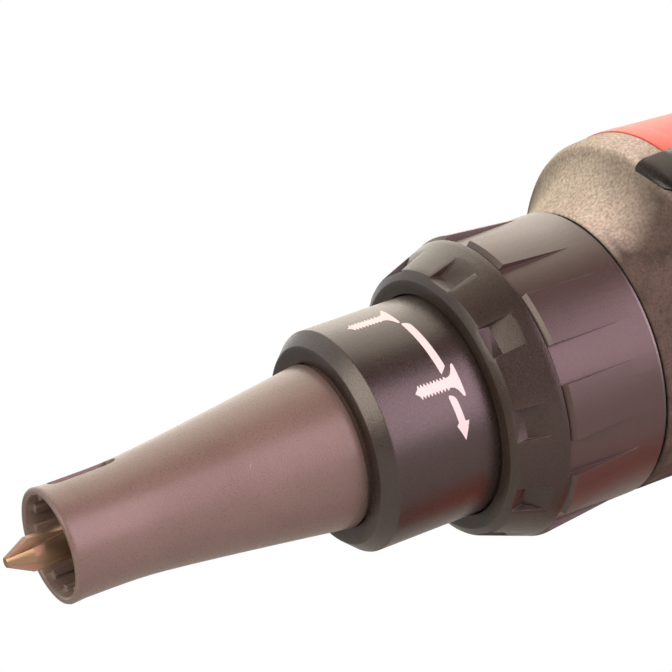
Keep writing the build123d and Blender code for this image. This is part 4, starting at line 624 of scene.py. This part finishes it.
def lamp_plastic():
    """Clear plastic with a faintly grained face."""
    material, tree, shader = new_material("clear_lens")
    shader.inputs["Base Color"].default_value = (0.92, 0.95, 0.96, 1)
    shader.inputs["Transmission Weight"].default_value = 0.85
    shader.inputs["IOR"].default_value = 1.49
    grain = place_group(tree, GRAIN, Scale=900.0, Roughen=0.3)
    tree.links.new(ramp(tree, grain["Height"], 0.3, 1.0, 0.08, 0.22), shader.inputs["Roughness"])
    return material


finish = {
    "red_plastic": moulded(
        "red_plastic", (0.62, 0.042, 0.016, 1), (0.74, 0.12, 0.07, 1),
        roughness=0.42, grain_size=0.30, relief=0.2, depth=0.04, speckle=0.06),
    # The rubber's full dust amount lightens its tops and forward slopes, partly as dust and partly as painted
    # top light
    "grey_rubber": moulded(
        "grey_rubber", (0.068, 0.051, 0.043, 1), (0.28, 0.23, 0.19, 1),
        roughness=0.80, grain_size=0.42, relief=0.7, depth=0.12, edge=0.8, mottle=0.35, speckle=0.30,
        patches=260.0, pits=0.7, dust=1.0, specular=0.3),
    "black_rubber": moulded(
        "black_rubber", (0.020, 0.018, 0.017, 1), (0.06, 0.06, 0.06, 1),
        roughness=0.65, grain_size=0.4, relief=0.5, depth=0.08),
    "nose_plastic": moulded(
        "nose_plastic", (0.170, 0.120, 0.105, 1), (0.50, 0.41, 0.35, 1),
        roughness=0.33, grain_size=0.28, relief=0.6, edge=0.25, wear=0.35, dust=0.02, specular=0.6,
        scuffs=NOSE_WITNESS),
    "sleeve_plastic": moulded(
        "sleeve_plastic", (0.026, 0.0168, 0.0140, 1), (0.18, 0.15, 0.13, 1),
        roughness=0.33, grain_size=0.28, relief=0.6, edge=0.3, dust=0.05, speckle=0.18, specular=0.7),
    "collar_plastic": moulded(
        "collar_plastic", (0.052, 0.0315, 0.0270, 1), (0.26, 0.21, 0.18, 1),
        roughness=0.37, grain_size=0.28, relief=0.6, edge=0.12, wear=0.3, dust=0.05, speckle=0.18,
        specular=0.65),
    "ring_plastic": moulded(
        "ring_plastic", (0.030, 0.0208, 0.0158, 1), (0.24, 0.20, 0.17, 1),
        roughness=0.34, grain_size=0.28, relief=0.7, depth=0.06, edge=0.2, dust=0.05, speckle=0.18),
    "plate_black": moulded(
        "plate_black", (0.012, 0.010, 0.009, 1), (0.10, 0.08, 0.07, 1),
        roughness=0.30, grain_size=0.5, relief=0.2, depth=0.02, edge=0.15, dust=0.02, specular=0.35),
    "black_plastic": moulded(
        "black_plastic", (0.022, 0.020, 0.019, 1), (0.10, 0.10, 0.10, 1),
        roughness=0.5, grain_size=0.4, relief=0.5, depth=0.06),
    "bit_steel": metal(
        "bit_steel", (0.40, 0.275, 0.185, 1), (0.72, 0.58, 0.46, 1),
        roughness=0.45, grain_size=0.2, stretch=(0.15, 1, 1)),
    "bright_steel": metal(
        "bright_steel", (0.60, 0.60, 0.59, 1), (0.8, 0.8, 0.79, 1),
        roughness=0.28, grain_size=0.2, stretch=(0.1, 1, 1)),
    "dark_steel": metal(
        "dark_steel", (0.16, 0.155, 0.15, 1), (0.45, 0.44, 0.43, 1),
        roughness=0.42),
    "cast_alloy": metal(
        "cast_alloy", (0.46, 0.46, 0.47, 1), (0.7, 0.7, 0.7, 1),
        roughness=0.5, grain_size=0.6, relief=0.35, depth=0.05),
    "bronze": metal(
        "bronze", (0.50, 0.33, 0.16, 1), (0.75, 0.56, 0.32, 1),
        roughness=0.4, grain_size=0.35),
    "copper": metal(
        "copper", (0.62, 0.25, 0.12, 1), (0.8, 0.45, 0.28, 1),
        roughness=0.3, grain_size=0.5, relief=0.4, depth=0.05),
    "circuit_board": moulded(
        "circuit_board", (0.012, 0.075, 0.035, 1), (0.25, 0.3, 0.2, 1),
        roughness=0.35, grain_size=0.8, relief=0.2, depth=0.03),
    "cell_sleeve": moulded(
        "cell_sleeve", (0.03, 0.12, 0.16, 1), (0.2, 0.3, 0.34, 1),
        roughness=0.3, grain_size=1.5, relief=0.1, depth=0.02),
    "clear_lens": lamp_plastic(),
    "white_print": moulded(
        "white_print", (0.74, 0.70, 0.71, 1), (0.56, 0.53, 0.52, 1),
        roughness=0.5, grain_size=0.25, depth=0.02, edge=0.02, wear=0.1, dust=0.0, mottle=0.04,
        speckle=0.05),
}

# The washer in the gap behind the collar takes dark steel as painted shade, so that the gap stays dark
look_of = {**slot_of, "collar_washer": "dark_steel"}

for name, node in nodes.items():
    node.data.materials.clear()
    node.data.materials.append(finish[look_of[name]])


# Nose


def flare(s):
    """Radius of the nose, which eases from the straight neck into the flare."""
    share = (s - NECK_END) / (NOSE_END - NECK_END)
    eased = (math.hypot(share, FLARE_EASE) + share) / 2
    return min(NECK_R + (NOSE_BACK_R - NECK_R) * eased ** FLARE_POWER, NOSE_BACK_R)


def nose_shell():
    """Tapered nose with a lip, ribbed bore, dust slot and snap skirt."""
    run = NOSE_END - NECK_START
    outside = [(NECK_START + run * k / FLARE_STEPS, flare(NECK_START + run * k / FLARE_STEPS))
               for k in range(FLARE_STEPS + 1)]
    groove = SKIRT_END - O_RING_FROM_END
    shell = lathe("nose_shell", [
        (MOUTH_CONE, BORE_R), *[(s, BORE_R + over) for s, over in MOUTH_LIP],
        *[(s, RIM_R - under) for s, under in RIM_LIP], *outside, (NOSE_END, SKIRT_R),
        (groove - O_RING_GROOVE, SKIRT_R), (groove - O_RING_GROOVE, O_RING_GROOVE_R),
        (groove + O_RING_GROOVE, O_RING_GROOVE_R), (groove + O_RING_GROOVE, SKIRT_R), (SKIRT_END, SKIRT_R),
        (SKIRT_END, SKIRT_BORE_R), (NOSE_END, SKIRT_BORE_R), (NECK_END, BORE_R)])
    slot = block("slot", Vector((RIM_X - (SLOT_START + SLOT_LENGTH) * MM, -SLOT_WIDTH / 2 * MM, AXIS_Z)),
                 Vector((RIM_X - SLOT_START * MM, SLOT_WIDTH / 2 * MM, AXIS_Z + 2 * RIM_R * MM)))
    pick_edges(slot, lambda first, second: abs(first.z - second.z) > RIM_R * MM)
    bpy.ops.mesh.bevel(offset=SLOT_END_R * MM, segments=SLOT_END_STEPS)
    cut(shell, slot)
    rib = block("rib",
                Vector((RIM_X - NECK_END * MM, -RIB_WIDTH / 2 * MM, AXIS_Z + (BORE_R - RIB_HEIGHT) * MM)),
                Vector((RIM_X - RIB_START * MM, RIB_WIDTH / 2 * MM, AXIS_Z + (BORE_R + RIB_ROOT) * MM)))
    bpy.ops.transform.rotate(value=math.radians(RIB_TURN), orient_axis="X", center_override=SPINDLE_POINT)
    around(RIB_COUNT)
    weld(shell, rib)
    soften(shell, NOSE_EDGE)
    return dress(shell, "nose", finish["nose_plastic"], "nose_cone")


nose_shell()


# Drum


def setting_drum():
    """Sliding drum that carries the nose, with two keyways in its hub."""
    wall_r = SLEEVE_R - DRUM_WALL
    drum = lathe("setting_drum", [
        (SLEEVE_S, DRUM_BORE_R), (SLEEVE_S, DRUM_FACE_R), (SLEEVE_S + DRUM_CHAMFER, SLEEVE_R),
        (SLEEVE_END, SLEEVE_R), (SLEEVE_END, wall_r), (DRUM_WEB_END, wall_r), (DRUM_WEB_END, DRUM_HUB_R),
        (DRUM_HUB_END, DRUM_HUB_R), (DRUM_HUB_END, DRUM_HUB_BORE_R), (DRUM_WEB_S, DRUM_HUB_BORE_R),
        (DRUM_WEB_S, DRUM_BORE_R)])
    start, end, floor_r = DRUM_WEB_S - CUT_OVER, DRUM_HUB_END + CUT_OVER, DRUM_HUB_BORE_R - CUT_OVER
    keyway = wedge("keyway", [(start, floor_r), (start, KEYWAY_R), (end, KEYWAY_R), (end, floor_r)],
                   phase=0, width=KEYWAY_WIDTH)
    around(KEYWAY_COUNT)
    cut(drum, keyway)
    soften(drum, DRUM_EDGE, segments=3)
    return dress(drum, "depth_drum", finish["sleeve_plastic"], "depth_sleeve")


def screw_outline(tip_s, tip_angle, head_angle, scale):
    """Outline of a drywall screw, point forward, as (s, angle) points on the drum."""
    half = list(SCREW_TIP)
    for k in range(SCREW_THREADS):
        start = SCREW_THREAD_START + SCREW_PITCH * k
        half += [(start + u, v) for u, v in SCREW_THREAD]
    half += SCREW_HEAD
    length = half[-1][0]
    both = half + [(length, 0.0)] + [(u, -v) for u, v in reversed(half[1:])]
    lean = head_angle - tip_angle
    return [(tip_s + scale * u, tip_angle + lean * u / length + math.degrees(v / SLEEVE_R)) for u, v in both]


def band_outline(start, end, first_s, last_s, half_width, tail):
    """Outline of a curved band round the drum, with a rounded slanted start and a given tail."""
    def middle(angle):
        return first_s + (last_s - first_s) * (angle - start) / (end - start)

    run = end - start - BAND_SLANT_END
    steps = round(run / BAND_STEP)
    angles = [start + BAND_SLANT_END + run * k / steps for k in range(steps + 1)]
    front = [(middle(a) - half_width, a) for a in angles]
    back = [(middle(a) + half_width, a) for a in reversed(angles)]
    head = [(middle(start + turn) + share * half_width, start + turn) for turn, share in BAND_SLANT]
    return head + front + tail + back


def print_on_drum(name, outline):
    """A thin white print on the drum, from an outline of (s, angle) points."""
    points = [on_spindle(s, SLEEVE_R, angle) for s, angle in outline]
    piece = laid_sheet(name, points, SIGN_CUTS, SIGN_THICK, OUTWARDS, target=bpy.data.objects["setting_drum"],
                       wrap_mode="ABOVE_SURFACE", lift=SIGN_LIFT)
    smooth(piece, PRINT_ANGLE)
    return dress(piece, "depth_drum", finish["white_print"])


def setting_signs():
    """Two screws, one sunk deeper than the other, and the arrow from one to the other."""
    print_on_drum("sign_screw_high", screw_outline(tip_s=61.85, tip_angle=20.0, head_angle=21.2, scale=0.91))
    print_on_drum("sign_screw_low", screw_outline(tip_s=64.9, tip_angle=71.0, head_angle=71.2, scale=0.95))
    print_on_drum("sign_band", band_outline(
        start=30.6, end=62.6, first_s=71.15, last_s=71.8, half_width=0.74,
        tail=[(71.1, 64.6), (71.2, 66.2), (71.6, 65.2), (72.0, 64.2), (72.4, 63.2)]))
    print_on_drum("sign_arrow", band_outline(
        start=77.0, end=91.2, first_s=71.3, last_s=71.8, half_width=0.68,
        tail=[(70.6, 92.4), (71.05, 95.2), (71.45, 97.8), (71.8, 100.4), (72.3, 97.4), (72.8, 94.2),
              (73.2, 91.2)]))


setting_drum()
setting_signs()


# Ring and collar


def notched_ring():
    """Ring with a sloping brow and ten wedge notches for the fingers."""
    ring_end = COLLAR_S - RING_TRIM
    crown_s = ring_end - RING_CROWN_FROM_END
    shoulder_s = RING_S + RING_SHOULDER
    brow = []
    for k in range(BROW_STEPS + 1):
        share = k / BROW_STEPS
        brow.append((shoulder_s + (crown_s - shoulder_s) * share,
                     RING_SHOULDER_R + (RING_CROWN_R - RING_SHOULDER_R) * share))
    ring = lathe("notched_ring", [
        (RING_S, RING_BORE_R), (RING_S, RING_FACE_R), *brow,
        (ring_end, RING_BACK_R), (ring_end, RING_BORE_R)])
    start = shoulder_s - NOTCH_LEAD
    end = start + NOTCH_LENGTH
    rise = (RING_CROWN_R - RING_SHOULDER_R) * (end - shoulder_s) / (crown_s - shoulder_s)
    notch = wedge("notch", [
        (start, RING_SHOULDER_R - NOTCH_FRONT_DEPTH), (start + NOTCH_VALLEY, NOTCH_VALLEY_R),
        (end, RING_SHOULDER_R + rise + NOTCH_RUN_OUT), (end, RING_CROWN_R + CUT_OVER),
        (start, RING_CROWN_R + CUT_OVER)], NOTCH_PHASE, NOTCH_WIDTH)
    around(NOTCH_COUNT)
    cut(ring, notch)
    soften(ring, RING_EDGE, RING_EDGE_ANGLE)
    return dress(ring, "adjuster", finish["ring_plastic"], "adjuster_ring")


def landed_collar():
    """Grip collar with ten raised lands that fade out to the rear."""
    first = NOTCH_PHASE - LAND_WIDTH / 2
    front = COLLAR_S - RING_TRIM
    collar = lathe("landed_collar", [
        (front, COLLAR_CLIP_BORE_R), (front, COLLAR_R), (COLLAR_END - COLLAR_EDGE, COLLAR_R),
        (COLLAR_END, COLLAR_R - COLLAR_EDGE), (COLLAR_END, COLLAR_BORE_R), (COLLAR_SHOULDER, COLLAR_BORE_R),
        (COLLAR_SHOULDER, COLLAR_CLIP_BORE_R)], phase=first)
    land_end = COLLAR_S + LAND_LENGTH
    root_r = COLLAR_R - LAND_ROOT
    land = lathe("land", [
        (front, root_r), (front, LAND_FRONT_R), (front + LAND_CHAMFER, COLLAR_R + LAND_HEIGHT),
        (land_end, COLLAR_R - LAND_SINK), (land_end, root_r)], LAND_WIDTH, first, LAND_STEPS)
    edit(land)
    around(NOTCH_COUNT)
    weld(collar, land)
    smooth(collar)
    return dress(collar, "adjuster", finish["collar_plastic"], "grip_collar")


notched_ring()
landed_collar()


# Rubber boot and red cover


def ring_skin(name, rings):
    """A skin through rings of (s, radius, rise of the middle), each drawn out of the last."""
    s, r, rise = rings[0]
    skin = chain(name, [on_spindle(s, r, 360 * k / BOOT_STEPS) for k in range(BOOT_STEPS)])
    for (s, r, rise), (next_s, next_r, next_rise) in zip(rings, rings[1:]):
        bpy.ops.mesh.extrude_region_move(
            TRANSFORM_OT_translate={"value": ((s - next_s) * MM, 0, (next_rise - rise) * MM)})
        middle = (RIM_X - next_s * MM, 0, AXIS_Z + next_rise * MM)
        bpy.ops.transform.resize(value=(1, next_r / r, next_r / r), center_override=middle)
    close_up()
    fresh()
    return skin


def boot_rings(proud=0.0):
    """Rings of the boot's outside, or of a form that stands proud of it."""
    return [(s, (crest + BOOT_FLOOR_R) / 2 + proud, (crest - BOOT_FLOOR_R) / 2) for s, crest in BOOT_CREST]


def rubber_boot():
    """Rubber skin that climbs from the round mouth to the ridge in front of the red cover."""
    mouth_s = behind_rim(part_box("front_boot_left")[1].x)
    mouth = [(mouth_s + behind, BOOT_MOUTH_R - under, 0.0) for behind, under in BOOT_LIP]
    boot = ring_skin("rubber_boot", mouth + boot_rings())
    apply(boot, "SOLIDIFY", thickness=BOOT_SKIN * MM, offset=INWARDS)
    smooth(boot, SKIN_ANGLE)
    return dress(boot, "tool", finish["grey_rubber"], "front_boot_left", "front_boot_right")


def cover_edge():
    """Front edge of the red cover, which stands a little proud of the rubber."""
    edge = lathe("cover_edge", COVER_EDGE)
    edit(edge)
    bpy.ops.transform.translate(value=(0, 0, BARREL_LIFT * MM))
    smooth(edge)
    return dress(edge, "tool", finish["red_plastic"])


def bare_plate():
    """Blank dark plate on the left of the barrel."""
    barrel = (PLATE_FORM_END, BARREL_R + PLATE_PROUD, BARREL_LIFT)
    form = ring_skin("plate_form", boot_rings(PLATE_PROUD) + [barrel])
    lift = Vector((0, 0, BARREL_LIFT * MM))
    points = [on_spindle(s, PLATE_DRAWN_R, angle) + lift for s, angle in BARE_PLATE]
    plate = laid_sheet("bare_plate", points, PLATE_CUTS, PLATE_THICK, INWARDS, target=form,
                       wrap_mode="ON_SURFACE")
    bpy.data.objects.remove(form)
    soften(plate, PLATE_EDGE, SKIN_ANGLE, segments=1)
    return dress(plate, "tool", finish["plate_black"])


rubber_boot()
cover_edge()
bare_plate()


# Springs

X, Y = 0, 1


def pressed_spring(name, node, axis, outward=1):
    """A merged copy of a spring, baked in place of its hidden node; its held and pressed ends are worked out
    but not used.
    """
    low, high = (Vector(corner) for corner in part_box(node))
    held, pressed = (low + high) / 2, (low + high) / 2
    held[axis], pressed[axis] = (low[axis], high[axis]) if outward > 0 else (high[axis], low[axis])
    spring = bpy.data.objects.new(name, nodes[node].data.copy())
    bpy.context.scene.collection.objects.link(spring)
    edit(spring)
    close_up()
    fresh()
    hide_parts(node)
    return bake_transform(spring)


pressed_spring("clutch_coil", "clutch_spring", X)
pressed_spring("trigger_coil", "trigger_spring", X)
pressed_spring("latch_coil_left", "latch_spring_left", Y)
pressed_spring("latch_coil_right", "latch_spring_right", Y, outward=-1)


# Stage, light and camera

# Places are in metres, the photo's focal length and width in pixels, and the sensor in millimetres
FLOOR_SIZE = 8.0
FLOOR_COLOUR = (0.64, 0.67, 0.68, 1)
FLOOR_FADE = (0.22, 0.40)
AIR = 0.10
WALL_SPAN = (0.25, -0.45)
ON_TOOL = (0.08, 0, 0.18)
PHOTO_FOCAL = 3000
PHOTO_WIDTH = 672
SENSOR_WIDTH = 36.0
PHOTO_PLACE = (0.3407, 0.4723, 0.2716)
PHOTO_RIGHT = (-0.8471, 0.4627, -0.2613)
PHOTO_UP = (-0.2948, 0.0, 0.9556)


def studio_floor():
    """Pale floor that takes the shadow and fades to white away from the tool."""
    fresh()
    bpy.ops.mesh.primitive_plane_add(size=FLOOR_SIZE)
    floor = bpy.context.object
    floor.name = "studio_floor"
    material, tree, shader = new_material("studio_white")
    shader.inputs["Base Color"].default_value = FLOOR_COLOUR
    shader.inputs["Roughness"].default_value = 0.9
    place = put(tree, "ShaderNodeTexCoord").outputs["Object"]
    distance = put(tree, "ShaderNodeVectorMath", {"operation": "LENGTH"})
    tree.links.new(place, distance.inputs[0])
    far = ramp(tree, distance.outputs["Value"], *FLOOR_FADE)
    rays = put(tree, "ShaderNodeLightPath").outputs
    seen = maths(tree, "MAXIMUM", rays["Is Camera Ray"], rays["Is Transmission Ray"])
    white = put(tree, "ShaderNodeEmission", Color=(1, 1, 1, 1), Strength=1.0)
    join = put(tree, "ShaderNodeMixShader")
    tree.links.new(maths(tree, "MULTIPLY", far, seen), join.inputs[0])
    tree.links.new(shader.outputs[0], join.inputs[1])
    tree.links.new(white.outputs[0], join.inputs[2])
    tree.links.new(join.outputs[0], tree.nodes["Material Output"].inputs["Surface"])
    floor.data.materials.append(material)


def studio_air(strength):
    """Even air, with a white wall behind that shows in what is glossy."""
    world = bpy.data.worlds.new("studio_air")
    bpy.context.scene.world = world
    world.use_nodes = True
    tree = world.node_tree
    rays = put(tree, "ShaderNodeLightPath").outputs
    seen = maths(tree, "MAXIMUM", rays["Is Camera Ray"], rays["Is Transmission Ray"])
    bearing = put(tree, "ShaderNodeTexCoord").outputs["Generated"]
    direction = put(tree, "ShaderNodeSeparateXYZ", Vector=bearing)
    wall = maths(tree, "MULTIPLY", rays["Is Glossy Ray"], ramp(tree, direction.outputs["Y"], *WALL_SPAN))
    white = maths(tree, "MAXIMUM", seen, wall)
    sky = tree.nodes["Background"]
    sky.inputs["Color"].default_value = (1, 1, 1, 1)
    tree.links.new(ramp(tree, white, 0.0, 1.0, strength, 1.0), sky.inputs["Strength"])


def softbox(name, place, target, size, power, colour):
    """A flat lamp at a place, turned to its target."""
    lamp = bpy.data.lights.new(name, "AREA")
    lamp.shape = "RECTANGLE"
    lamp.size, lamp.size_y = size
    lamp.energy = power
    lamp.color = colour
    made = bpy.data.objects.new(name, lamp)
    bpy.context.scene.collection.objects.link(made)
    made.location = place
    made.rotation_euler = (Vector(target) - Vector(place)).to_track_quat("-Z", "Y").to_euler()


def photo_camera():
    """The photo's view, with its focal length in pixels of its frame."""
    right, up = Vector(PHOTO_RIGHT), Vector(PHOTO_UP)
    camera = bpy.data.objects.new("photo_camera", bpy.data.cameras.new("photo_camera"))
    bpy.context.scene.collection.objects.link(camera)
    camera.data.sensor_width = SENSOR_WIDTH
    camera.data.lens = SENSOR_WIDTH * PHOTO_FOCAL / PHOTO_WIDTH
    camera.data.clip_start = 0.01
    turn = Matrix((right, up, right.cross(up))).transposed().to_4x4()
    camera.matrix_world = Matrix.Translation(Vector(PHOTO_PLACE)) @ turn
    bpy.context.scene.camera = camera


studio_floor()
studio_air(AIR)
softbox("top_softbox", place=(-0.31, -0.30, 0.93), target=ON_TOOL, size=(0.9, 0.9), power=4.0,
        colour=(1.0, 0.86, 0.68))
softbox("side_softbox", place=(-0.28, 0.75, 0.35), target=ON_TOOL, size=(0.6, 0.9), power=7.8,
        colour=(1.0, 0.68, 0.77))
softbox("rim_softbox", place=(-0.45, -0.75, 0.55), target=(0.05, 0, 0.16), size=(0.9, 0.7), power=2.6,
        colour=(1.0, 0.86, 0.68))
softbox("front_softbox", place=(0.75, 0.325, 0.625), target=(0.10, 0, 0.18), size=(0.7, 0.7), power=8.0,
        colour=(1.0, 0.86, 0.72))
photo_camera()
bpy.context.scene.view_settings.view_transform = "Standard"

fresh()
